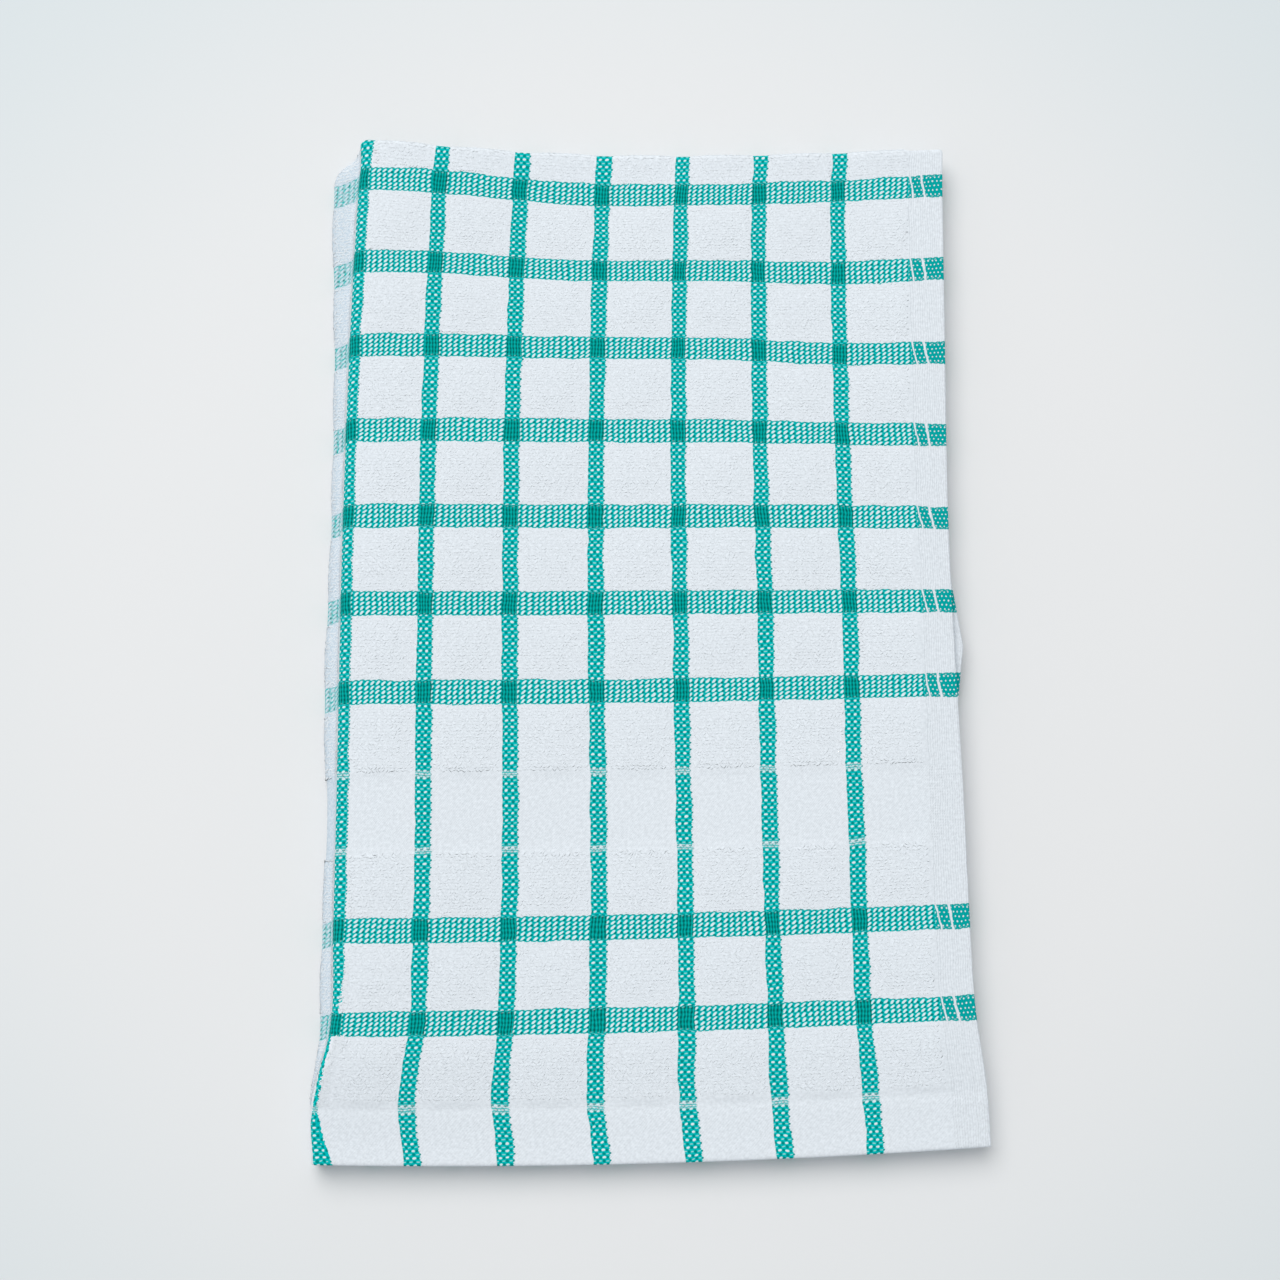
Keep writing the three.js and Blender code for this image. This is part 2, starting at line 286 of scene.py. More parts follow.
def column_at(name, along):
    """A column of the sections at any distance along, as a smooth curve through its rows."""
    where = SECTIONS[:, 0]
    value = SECTIONS[:, SECTION_NAMES.index(name)]
    last = len(where) - 1
    before = np.maximum(np.arange(last + 1) - 1, 0)
    after = np.minimum(np.arange(last + 1) + 1, last)
    slope = (value[after] - value[before]) / (where[after] - where[before])
    i = np.clip(np.searchsorted(where, along, side="left") - 1, 0, last - 1)
    span = where[i + 1] - where[i]
    t = np.clip((along - where[i]) / span, 0, 1)
    t2 = t * t
    t3 = t2 * t
    return (
        (2 * t3 - 3 * t2 + 1) * value[i]
        + (t3 - 2 * t2 + t) * span * slope[i]
        + (3 * t2 - 2 * t3) * value[i + 1]
        + (t3 - t2) * span * slope[i + 1]
    )


def bow_at(across, along):
    """The y of a section: a curve through its left, middle and right values."""
    x = np.maximum(RIDGE_STRIPE, np.abs(across))
    middle = (RIDGE_STRIPE + HALF_WIDTH) / 2
    t = (x - middle) / ((HALF_WIDTH - RIDGE_STRIPE) / 2)
    left = column_at("left", along)
    centre = column_at("middle", along)
    right = column_at("right", along)
    return centre + (right - left) / 2 * t + ((right + left) / 2 - centre) * t * t


def near_hem(along):
    return smooth((along - (HALF_LENGTH - 2.2 * HEM_WIDTH)) / (2 * HEM_WIDTH))


def middle_gap(across, along):
    """How far apart the two middle layers lie."""
    from_fold = np.maximum(0, np.abs(across) - RIDGE_STRIPE)
    near_fold = np.exp(-((from_fold / FOLD_CROWN_REACH) ** 2) * 2.2)
    near_edge = smooth((np.abs(across) - SELVEDGE_LINE) / SELVEDGE_WIDTH)
    hem = near_hem(along)
    # Slow waves of a few centimetres, of given sizes
    wave = np.sin(across / 19 + along / 47) * np.sin(along / 33 + 0.6)
    wave = wave + 0.7 * np.sin(across / 31 - along / 71 + 2)
    crown = FOLD_CROWN * near_fold * (1 - 0.85 * hem)
    swell = crown + WAVE_HEIGHT * wave * (1 - hem)
    return LAYER_PITCH + swell - HEM_PITCH_LOSS * hem - EDGE_PITCH_LOSS * near_edge


def layer_height(layer, across, along):
    """Height of the middle of one of the four layers, numbered from below."""
    pitch = LAYER_PITCH - HEM_PITCH_LOSS * near_hem(along)
    ground = PILE_THICKNESS / 2 + 0 * across
    if layer == 0:
        return ground
    if layer == 1:
        return ground + pitch
    upper = ground + pitch + middle_gap(across, along)
    return upper if layer == 2 else upper + pitch


def walk(steps, distance):
    """Where a path of arcs and straights gets to from its start, heading left.

    A step is (radius, turn) or (straight,), and a turn is positive towards the floor.
    """
    x = z = heading = 0.0
    left = distance
    for step in steps:
        whole = step[0] * np.abs(step[1]) if len(step) == 2 else step[0]
        part = np.clip(left, 0, whole)
        if len(step) == 2:
            radius, turn = step
            side = np.sign(turn) * radius
            turned = heading + np.sign(turn) * part / radius
            x = x + side * (np.sin(turned) - np.sin(heading))
            z = z + side * (np.cos(turned) - np.cos(heading))
            heading = turned
        else:
            x = x + part * np.cos(heading)
            z = z - part * np.sin(heading)
        left = left - whole
    return -x, z


def path_length(steps):
    return sum(s[0] * np.abs(s[1]) if len(s) == 2 else s[0] for s in steps)


def lip_steps(drop, reach):
    """The fold with a lip at its foot: shoulder, wall, hollow, shelf and nose."""
    hollow_turn = LIP_WALL_ANGLE - LIP_SHELF_ANGLE
    down = LIP_SHOULDER_RADIUS * (1 - np.cos(LIP_WALL_ANGLE))
    down += LIP_HOLLOW_RADIUS * (np.cos(LIP_SHELF_ANGLE) - np.cos(LIP_WALL_ANGLE))
    down += NOSE_RADIUS * (1 + np.cos(LIP_SHELF_ANGLE))
    out = LIP_SHOULDER_RADIUS * np.sin(LIP_WALL_ANGLE)
    out += LIP_HOLLOW_RADIUS * (np.sin(LIP_WALL_ANGLE) - np.sin(LIP_SHELF_ANGLE))
    out += NOSE_RADIUS * (1 - np.sin(LIP_SHELF_ANGLE)) + PILE_THICKNESS / 2
    rise = drop - down
    run = reach - out
    turned = np.sin(hollow_turn)
    wall = (rise * np.cos(LIP_SHELF_ANGLE) - run * np.sin(LIP_SHELF_ANGLE)) / turned
    shelf = (run * np.sin(LIP_WALL_ANGLE) - rise * np.cos(LIP_WALL_ANGLE)) / turned
    return [
        (LIP_SHOULDER_RADIUS, LIP_WALL_ANGLE),
        (wall,),
        (LIP_HOLLOW_RADIUS, -hollow_turn),
        (shelf,),
        (NOSE_RADIUS, np.pi - LIP_SHELF_ANGLE),
    ]


def plain_steps(drop):
    """The plain bend at the fold's two ends: shoulder, upright wall and nose."""
    return [
        (PLAIN_SHOULDER_RADIUS, np.pi / 2),
        (drop - PLAIN_SHOULDER_RADIUS - NOSE_RADIUS,),
        (NOSE_RADIUS, np.pi / 2),
    ]


def fold_at(along):
    """The fold's own measures at a distance along."""
    lip = column_at("lip", along)
    shift = mix(PLAIN_SHOULDER_SHIFT, LIP_SHOULDER_SHIFT, lip)
    shoulder = column_at("ridge", along) + shift
    start = RIDGE_STRIPE + shift
    drop = layer_height(3, start, along) - layer_height(0, start, along)
    plain_reach = PLAIN_SHOULDER_RADIUS + PILE_THICKNESS / 2
    reach = shoulder - column_at("nose", along)
    lip_reach = (reach - plain_reach * (1 - lip)) / np.maximum(lip, LEAST_LIP)
    plain = plain_steps(drop)
    lipped = lip_steps(drop, np.maximum(LEAST_LIP_REACH, lip_reach))
    end = start - mix(path_length(plain), path_length(lipped), lip)
    foot = mix(walk(plain, WHOLE_WAY)[0], walk(lipped, WHOLE_WAY)[0], lip)
    return {
        "lip": lip,
        "shoulder": shoulder,
        "start": start,
        "end": end,
        "inner_start": start + INNER_FOLD_INSET,
        "inner_end": end + foot - INNER_FOLD_INSET,
        "plain": plain,
        "lipped": lipped,
    }


def follow_fold(steps, fold, across, edge):
    """One fold shape followed to a place across the cloth, and on under the stack."""
    whole = path_length(steps)
    distance = fold["start"] - across
    end_x, end_z = walk(steps, WHOLE_WAY)
    x, z = walk(steps, np.maximum(distance, 0))
    under = (edge - fold["shoulder"] - end_x) / (HALF_WIDTH + fold["start"] - whole)
    past = distance > whole
    return np.where(past, end_x + under * (distance - whole), x), np.where(past, end_z, z)


def outer_section(across, along):
    """The outer half's cross section: x and z at a place across."""
    fold = fold_at(along)
    open_edge = column_at("open", along)
    stretch = (open_edge - fold["shoulder"]) / (HALF_WIDTH - fold["start"])
    flat_x = fold["shoulder"] + stretch * (across - fold["start"])
    flat_z = layer_height(3, across, along)
    plain = follow_fold(fold["plain"], fold, across, open_edge - LOWER_EDGE_INSET)
    lipped = follow_fold(fold["lipped"], fold, across, open_edge - LOWER_EDGE_INSET)
    top = layer_height(3, fold["start"], along)
    bent_x = fold["shoulder"] + mix(plain[0], lipped[0], fold["lip"])
    bent_z = top + mix(plain[1], lipped[1], fold["lip"])
    flat = across >= fold["start"]
    return np.where(flat, flat_x, bent_x), np.where(flat, flat_z, bent_z)


def inner_section(across, along):
    """The inner half's cross section: a round bend inside the outer one's fold."""
    fold = fold_at(along)
    open_edge = column_at("open", along)
    start = fold["inner_start"]
    end = fold["inner_end"]
    bend_x = fold["shoulder"] + INNER_FOLD_INSET
    upper_z = layer_height(2, across, along)
    lower_z = layer_height(1, across, along)
    peek = INNER_PEEK * bump(along, INNER_PEEK_MIDDLE, INNER_PEEK_REACH)
    stretch = (open_edge - INNER_EDGE_INSET + peek - bend_x) / (HALF_WIDTH - start)
    radius = (layer_height(2, start, along) - lower_z) / 2
    angle = np.pi * (start - across) / (start - end)
    under = (open_edge - LOWER_EDGE_INSET - bend_x) / (HALF_WIDTH + end)
    above = across >= start
    bend = across > end
    x = np.where(bend, bend_x - radius * np.sin(angle), bend_x + under * (end - across))
    z = np.where(bend, lower_z + radius * (1 + np.cos(angle)), lower_z)
    return np.where(above, bend_x + stretch * (across - start), x), np.where(above, upper_z, z)


def corner_draw(x, away):
    """How far the fold's foot is drawn back from the cross fold."""
    fold = fold_at(away)
    out = np.maximum(0, fold["shoulder"] - x) / (fold["shoulder"] - column_at("nose", away))
    return CORNER_PULL * out * out * np.exp(-away / CORNER_REACH)


def cloth_point(across, along):
    """The middle of the cloth at (across, along), in millimetres, as x, y and z."""
    across, along = np.broadcast_arrays(np.asarray(across, float), np.asarray(along, float))
    away = np.maximum(np.abs(along), CROSS_REACH)
    below = smooth(-across / UNDER_REACH)
    outer_x, outer_z = outer_section(across, away)
    inner_x, inner_z = inner_section(across, away)
    turn = np.clip(along / CROSS_REACH, -1, 1) * np.pi / 2
    share = (1 + np.sin(turn)) / 2
    x = mix(inner_x, outer_x, share)
    z = mix(inner_z, outer_z, share)
    inset = (np.where(along < 0, INNER_HEM_INSET, 0) + LOWER_HEM_INSET * below) * away / HALF_LENGTH
    tuck = np.where(np.abs(along) >= CROSS_REACH, inset, 0)
    gap = np.hypot(outer_x - inner_x, outer_z - inner_z) / 2
    bulge = np.sqrt(CROSS_RADIUS * gap) * np.cos(turn)
    drawn = mix(corner_draw(inner_x, away), corner_draw(outer_x, away), share)
    y = bow_at(across, away) - away + bulge + tuck - drawn
    return np.stack([x + ORIGIN_SHIFT[0], y + ORIGIN_SHIFT[1], z], axis=-1)


def cloth_normal(across, along):
    """The cloth's upward face direction, from two small steps over its surface."""
    step = 0.05
    wide = cloth_point(across + step, along) - cloth_point(across - step, along)
    long = cloth_point(across, along - step) - cloth_point(across, along + step)
    normal = np.cross(wide, long)
    return normal / np.linalg.norm(normal, axis=-1, keepdims=True)


def squeeze_at(across, along):
    """The share of its thickness that the pile keeps in the fold's sharp bends."""
    fold = fold_at(np.abs(along))
    nose = bump(across, fold["end"] + NOSE_RADIUS, NOSE_SQUEEZE_REACH)
    nose = nose * smooth(along / CROSS_REACH)
    corner = bump(across, 0, CORNER_SQUEEZE_REACH) * bump(along, 0, CORNER_SQUEEZE_REACH)
    return (1 - NOSE_SQUEEZE * nose) * (1 - CORNER_SQUEEZE * corner)


# Where washing and folding have drawn the weave aside: a row for each pull, with its
# place on the cloth, how far it reaches, and how far it moves the yarns
PULL_NAMES = ("across", "along", "wide", "long", "aside", "down")
PULLS = (
    (42, 20, 62, 80, 0, -2),
    (185, 65, 50, 60, 0, 1.8),
    (185, 30, 75, 90, -1.2, 0),
    (185, 165, 90, 75, 1.1, 0),
    (70, 304, 90, 45, -1.2, 0),
    (110, 350, 130, 40, 1.2, 0),
    (14, 322, 24, 20, 1.5, 0),
)

# How far the fold's wall moves the yarns down, from where across, and over what width
WALL_SLANT = 1.4
WALL_START = 10.0
WALL_REACH = 12.0

# The part of the first line that loops spill over: places along it, and how far
# from the line's middle the loops begin there
SPILL_AT = (284, 296, 308, 316, 331)
SPILL_FROM = (2.8, 1.2, 0.9, -0.1, -0.3)
SPILL_END = 3.4
SPILL_LOOPS = 620
SPILL_LIFT = (-0.2, -0.1)

# The loops: the places along where one piece of them ends and the next begins, and the
# place across of the first ones. How far they stray from even rows, as a share of their
# spacing, how ragged their squares end, and how deep they sink into the ground
PILE_PARTS = (-1.2, 62, 137, 214, 285, HEM_LINE - 3.4)
FIRST_LOOP = -22
ALONG_STRAY = 0.2
ACROSS_STRAY = 0.28
RAGGED_EDGE = (0.5, 0.85)
LOOP_SUNK = 0.143
EDGE_LOOP_SUNK = 0.25
LOOP_TWIST = 1.1
LOOP_SPREAD = 0.22

# The hem's stitches: how deep they sink, and the part of a step that thread covers
STITCH_SUNK = 0.16
STITCH_COVER = 0.85


# The weave

def weave_across(across):
    """Place across with the woven lines moved to even steps, so a repeat can draw them."""
    even = ACROSS_FIRST + ACROSS_PITCH * np.arange(len(ACROSS_LINES))
    place = np.interp(
        np.abs(across), (0, *ACROSS_LINES, HALF_WIDTH), (0, *even, HALF_WIDTH)
    )
    return np.sign(across) * place


def woven_place(across, along):
    """The place on an even weave of the yarns that lie at a place on the cloth."""
    away = np.abs(along)
    aside = 0 * across
    down = WALL_SLANT * smooth((WALL_START - across) / WALL_REACH)
    for row in PULLS:
        pull = dict(zip(PULL_NAMES, row))
        share = bump(across, pull["across"], pull["wide"]) * bump(away, pull["along"], pull["long"])
        aside = aside + pull["aside"] * share
        down = down + pull["down"] * share
    return across - aside, along - down * np.sign(along)


def from_lines(place, lines):
    """Distance from a place to the nearest of the lines."""
    return np.min([np.abs(np.abs(place) - line) for line in lines], axis=0)


def terry_at(across, along):
    """1 on looped terry, 0 on flat-woven lines, band, selvedge and hem."""
    line = smooth((from_lines(across, ACROSS_LINES) - ACROSS_HALF + STEP_INSIDE) / WEAVE_STEP)
    row = smooth((from_lines(along, ALONG_LINES) - ALONG_HALF + STEP_INSIDE) / WEAVE_STEP)
    away = np.abs(along)
    band = smooth((BAND_START - away) / WEAVE_STEP) + smooth((away - BAND_END) / WEAVE_STEP)
    hem = smooth((HEM_LINE - 1.5 - away) / WEAVE_STEP)
    edge = smooth((SELVEDGE_LINE - np.abs(across)) / WEAVE_STEP)
    return line * row * band * hem * edge


def swell_at(across, along):
    """The pillow of one terry square, 1 in its middle."""
    wide = smooth((from_lines(across, ACROSS_LINES) - ACROSS_HALF) / SWELL_REACH)
    long = smooth((from_lines(along, ALONG_LINES) - ALONG_HALF) / SWELL_REACH)
    return wide * long


def relief(across, along, settings):
    """How far the upper face lies under the plump pile's, in millimetres."""
    across, along = woven_place(across, along)
    terry = terry_at(across, along)
    away = np.abs(along)
    edge = smooth((np.abs(across) - SELVEDGE_LINE) / WEAVE_STEP)
    hem = smooth((away - HEM_LINE) / 2.5)
    seam = bump(away, SEAM_LINE, 2.6)
    depth = settings.ground / MM * terry
    depth = depth + (settings.ground + settings.line_depth) / MM * (1 - terry) * (1 - hem)
    depth = depth - settings.crown / MM * swell_at(across, along) * terry
    return depth + HEM_DEPTH * hem + SEAM_DEPTH * seam + EDGE_DEPTH * edge * (1 - hem)


def spread(*stops):
    """Grid lines from stop to stop: each stop is a place and the steps to the next."""
    made = []
    for (place, steps), (after, _) in zip(stops[:-1], stops[1:]):
        made += list(np.linspace(place, after, steps, endpoint=False))
    return made + [stops[-1][0]]


def singles(*places):
    """Stops with one step to the next."""
    return [(place, 1) for place in places]


def square_lines(lines, half, steps):
    """Grid lines over the woven lines and the terry squares between them, from the last."""
    inside = half - STEP_INSIDE
    outside = half + STEP_OUTSIDE
    stops = []
    for line in lines:
        stops += [(line - outside, 1)] if stops else []
        stops += [*singles(line - inside, line, line + inside), (line + outside, steps)]
    return spread(*stops[:-1])[::-1]


def across_grid(along):
    """Places across of the grid lines, one row for each distance along."""
    fold = fold_at(np.abs(along))
    edge = HALF_WIDTH
    selvedge = SELVEDGE_LINE
    past = ACROSS_HALF + STEP_OUTSIDE
    top = spread(
        *singles(edge, edge - 0.12, edge - 0.45, edge - 1), (edge - 2.2, 5),
        *singles(selvedge + 1.55, selvedge + 0.6, selvedge - 0.6), (selvedge - 2, 9),
        (ACROSS_LINES[-1] + past, 1),
    )
    top += square_lines(ACROSS_LINES[1:], ACROSS_HALF, 11)
    top += spread((ACROSS_LINES[1] - past, 9), (20.53, 1))
    under = spread(
        (-26, 12), *singles(-selvedge + 1, -selvedge - 1),
        *singles(-edge + 1, -edge + 0.45, -edge + 0.12, -edge),
    )
    start = (fold["start"] + 1.5)[:, None]
    stop = (fold["end"] - 1.5)[:, None]
    inner_stop = (fold["inner_end"] - 1.5)[:, None]
    bend = mix(start, stop, np.linspace(0, 1, 46, endpoint=False))
    inner_bend = mix(stop, inner_stop, np.linspace(0, 1, 5, endpoint=False))
    rows = len(along)
    return np.hstack([np.tile(top, (rows, 1)), bend, inner_bend, np.tile(under, (rows, 1))])


def along_grid():
    """Distances along of the grid's rows, from the outer hem to the inner one."""
    end = HALF_LENGTH
    hem = HEM_LINE
    lines = ALONG_LINES
    past = ALONG_HALF + STEP_OUTSIDE
    rows = spread(
        *singles(end, end - 0.15, end - 0.55, end - 1.2, end - 2.2), (end - 4, 7),
        *singles(hem + 2.5, hem + 1.2, hem, hem - 1.2, hem - 2.4), (hem - 4, 11),
        (lines[-1] + past, 1),
    )
    rows += square_lines(lines[-2:], ALONG_HALF, 10)
    rows += spread(
        (lines[-2] - past, 9), *singles(BAND_END + 0.9, BAND_END - 0.9), (BAND_END - 3.5, 8),
        *singles(BAND_START + 0.9, BAND_START - 0.9), (BAND_START - 3, 8),
        (lines[-3] + past, 1),
    )
    rows += square_lines(lines[:-2], ALONG_HALF, 10)
    rows += spread(
        (lines[0] - past, 7), (CROSS_REACH, 10), (-CROSS_REACH, 8), (-30, 14),
        *singles(-hem, -hem - 2.5, -end + 6, -end + 1.2, -end + 0.55, -end + 0.15, -end),
    )
    return np.array(rows)


def rim_share(across, along):
    """Rounds the sheet's four edges: the share of its thickness near a cut edge."""
    to_hem = np.clip((HALF_LENGTH - np.abs(along)) / HEM_RIM_RADIUS, 0, 1)
    to_side = np.clip((HALF_WIDTH - np.abs(across)) / SIDE_RIM_RADIUS, 0, 1)
    hem = np.sqrt(1 - (1 - to_hem) ** 2)
    side = np.sqrt(1 - (1 - to_side) ** 2)
    return mix(LEAST_RIM, 1, hem * side)


def sheet_faces(rows, columns):
    """Quads of the closed sheet: its upper face, its lower face and its four edges."""
    at = np.arange(2 * rows * columns).reshape(2, rows, columns)
    up, low = at
    faces = [
        (up[:-1, :-1], up[1:, :-1], up[1:, 1:], up[:-1, 1:]),
        (low[:-1, :-1], low[:-1, 1:], low[1:, 1:], low[1:, :-1]),
        (low[0, :-1], up[0, :-1], up[0, 1:], low[0, 1:]),
        (up[-1, :-1], low[-1, :-1], low[-1, 1:], up[-1, 1:]),
        (up[:-1, 0], low[:-1, 0], low[1:, 0], up[1:, 0]),
        (low[:-1, -1], up[:-1, -1], up[1:, -1], low[1:, -1]),
    ]
    return np.vstack([np.stack([corner.ravel() for corner in f], axis=1) for f in faces])


def mesh_object(name, points, faces, smooth_shading=True):
    """A mesh object at the origin, from points in millimetres."""
    mesh = bpy.data.meshes.new(name)
    mesh.from_pydata((points * MM).tolist(), [], faces.tolist() if len(faces) else [])
    mesh.update()
    if smooth_shading and len(faces):
        mesh.polygons.foreach_set("use_smooth", [True] * len(mesh.polygons))
    made = bpy.data.objects.new(name, mesh)
    bpy.context.scene.collection.objects.link(made)
    return made


# Materials

def linear(colour):
    """Linear colour from sRGB, given as a hex string or as three shares."""
    if isinstance(colour, str):
        colour = [int(colour[i : i + 2], 16) / 255 for i in (1, 3, 5)]
    turned = [c / 12.92 if c <= 0.04045 else ((c + 0.055) / 1.055) ** 2.4 for c in colour]
    return (*turned, 1.0)


def add(tree, kind, *inputs, named=None, **settings):
    """Adds a node with its settings, links or sets its inputs, and gives one of its outputs.

    A kind is Blender's own name, or one of the ready-set kinds below. Those may say which
    inputs are given ("at") and which output is wanted.
    """
    own_name, ready = kind if isinstance(kind, tuple) else (kind, {})
    settings = {**ready, **settings}
    output = settings.pop("output", 0)
    places = settings.pop("at", range(len(inputs)))
    made = tree.nodes.new(own_name)
    for name, value in settings.items():
        setattr(made, name, value)
    for key, value in [*zip(places, inputs), *(named or {}).items()]:
        if isinstance(value, bpy.types.NodeSocket):
            tree.links.new(value, made.inputs[key])
        elif value is not None:
            made.inputs[key].default_value = value
    return made.outputs[output] if len(made.outputs) else made


# Kinds of node that are used often, ready set. Soft step goes from 0 at its first value
# to 1 at its second
COLOUR_MIX = ("ShaderNodeMix", {"data_type": "RGBA", "at": (0, 6, 7), "output": 2})
VECTOR_MIX = ("ShaderNodeMix", {"data_type": "VECTOR", "at": (0, 4, 5), "output": 1})
RANGE = ("ShaderNodeMapRange", {})
SOFT_STEP = ("ShaderNodeMapRange", {"interpolation_type": "SMOOTHSTEP"})
NOISE = ("ShaderNodeTexNoise", {"noise_dimensions": "2D", "at": (0, 2, 3)})
PLUS, MINUS, TIMES, TIMES_PLUS, OVER, SIZE, WHOLE, LARGER, BELOW, ABOVE, WRAP, WAVE, WITHIN = (
    ("ShaderNodeMath", {"operation": operation})
    for operation in (
        "ADD", "SUBTRACT", "MULTIPLY", "MULTIPLY_ADD", "DIVIDE", "ABSOLUTE", "ROUND",
        "MAXIMUM", "LESS_THAN", "GREATER_THAN", "WRAP", "COSINE", "COMPARE",
    )
)

# The weave's small repeats, in millimetres, as a row of numbers for the woven spots:
# pitch across and along, shift from row to row, radius across and along, and slant
SPOT_INPUTS = (
    "Across", "Along", "Across pitch", "Along pitch",
    "Row shift", "Across radius", "Along radius", "Slant",
)
TOOTH = (ACROSS_PITCH, 1.19, 0.0, 0.6, 0.42, -0.3)
DOT = (2.13, 2.38, 0.0, 0.5, 0.36, -0.25)
DASH = (2.13, 2.38, 0.0, 0.44, 0.17, -0.7)
GAP = (2.04, 1.53, 0.0, 0.47, 0.62, -0.75)
# The next two are painted shadow beside the white dashes: a dark spot and a weaker one
SHADOW_SPOT = (2.04, 1.53, 0.0, 0.45, 0.42, -0.2)
WEAK_SHADE_SPOT = (2.04, 1.53, 0.0, 0.38, 0.3, -0.4)
EDGE_DOT = (1.45, 1.5, 0.5, 0.27, 0.27, 0.0)
PALE_DASH = (1.07, 0.8, 0.5, 0.45, 0.24, 0.0)

# Where those repeats start, from the middle of their line: across, then along
TOOTH_START = 2.3
DOT_START = -1.45
DASH_START = (-0.39, -1.19)
SHADOW_SPOT_START = (0.67, 0.4)
WEAK_SHADE_START = (1.45, -0.54)

# Yarn colours beside the settings' own: shade on dyed yarn, painted shadow in dark spots and
# between the crossings' ribs, white yarn dimmed by dyed yarn over it, light on the crossings' ribs,
# and painted shade on the fold's wall
DEEP_GREEN = "#007a75"
SHADOW_GREEN = "#005c57"
PALE_GREEN = "#9aeae8"
RIB_GREEN = "#00bab3"
WALL_SHADE_WHITE = "#c9d8e4"

# Yarns that show as ripples, in millimetres from one to the next
CROSSING_RIB = 1.03
CROSSING_BEAD = 1.5
FLAT_RIB = 0.8
BAND_THREAD = 0.95
TWILL_STEP = 1.1
TWILL_LEAN = 1.1

# How uneven hand-folded cloth lies: scale and detail of the noise, and how far it moves
UNEVEN = ((0.11, 2.0, 1.3), (0.55, 1.0, 0.4))

# Where the lines' edges fade, from their middle: those down the cloth, then those across
# it, and where the fold's wall begins, across
DOWN_LEFT = (-2.9, -2.6)
DOWN_RIGHT = (2.6, 2.3)
OVER_EDGE = (4.3, 4.0)
OVER_RIM = (3.2, 3.9)
CROSSING_EDGE = (3.9, 3.65)
WALL_EDGE = (9.5, 7.5)

# How the spilled loops' edge lies on the first line, from its middle: where it is before
# they spill, how far they draw it in, how ragged it is, and how wide no dots show in it
SPILL_BEFORE = 3.0
SPILL_DRAW = -4.8
SPILL_RAGGED = 1.4
SPILL_NO_DOTS = 1.2
SPILL_WIDTH = 6.0

# Where the lines stop: those down the cloth before the selvedge, and those across it at
# the band and at the hem
DOWN_STOP = 200.0
OVER_STOP = 216.0
OVER_AGAIN = 255.0
OVER_END = 316.0

# The two white slits in the selvedge: place, and from where to where they fade
SLITS = ((210.6, 0.38, 0.18), (214.6, 0.5, 0.3))
SLIT_LEAN = -0.17

# Where the lines turn pale, and how far to each side
PALE_ROWS = ((BAND_START, 1.6), (BAND_END, 1.6), (HEM_LINE - 0.8, 1.8))


def ripple(tree, place, pitch):
    """A wave over the weave: 1 on each yarn and -1 between two."""
    turned = add(tree, TIMES, place, 2 * np.pi / pitch)
    return add(tree, WAVE, turned)


def apart(tree, place, line):
    """How far a place is from a line."""
    off = add(tree, MINUS, place, line)
    return add(tree, SIZE, off)


def layered(tree, colour, *layers):
    """A colour with others laid over it, each given as its share and itself."""
    for share, over in layers:
        colour = add(tree, COLOUR_MIX, share, colour, over)
    return colour


def spot_group():
    """A repeating slanted spot: 1 inside each spot of a grid, 0 between them."""
    tree = bpy.data.node_groups.new("Woven spots", "ShaderNodeTree")
    for name in SPOT_INPUTS:
        tree.interface.new_socket(name, in_out="INPUT", socket_type="NodeSocketFloat")
    tree.interface.new_socket("Spot", in_out="OUTPUT", socket_type="NodeSocketFloat")
    given = tree.nodes.new("NodeGroupInput").outputs
    row = add(tree, OVER, given["Along"], given["Along pitch"])
    whole_row = add(tree, WHOLE, row)
    part_row = add(tree, MINUS, row, whole_row)
    off_along = add(tree, TIMES, part_row, given["Along pitch"])
    lean = add(tree, TIMES, off_along, given["Slant"])
    straight = add(tree, MINUS, given["Across"], lean)
    column = add(tree, OVER, straight, given["Across pitch"])
    shifted = add(tree, TIMES_PLUS, whole_row, given["Row shift"], column)
    whole_column = add(tree, WHOLE, shifted)
    part_column = add(tree, MINUS, shifted, whole_column)
    off_across = add(tree, TIMES, part_column, given["Across pitch"])
    wide = add(tree, OVER, off_across, given["Across radius"])
    long = add(tree, OVER, off_along, given["Along radius"])
    wide_squared = add(tree, TIMES, wide, wide)
    squared = add(tree, TIMES_PLUS, long, long, wide_squared)
    spot = add(tree, SOFT_STEP, squared, 0.55, 1.5, 1.0, 0.0)
    out = tree.nodes.new("NodeGroupOutput")
    tree.links.new(spot, out.inputs[0])
    return tree


def fresh_material(name):
    """A material with an empty tree, as (material, tree)."""
    made = bpy.data.materials.new(name)
    made.use_nodes = True
    made.node_tree.nodes.clear()
    return made, made.node_tree


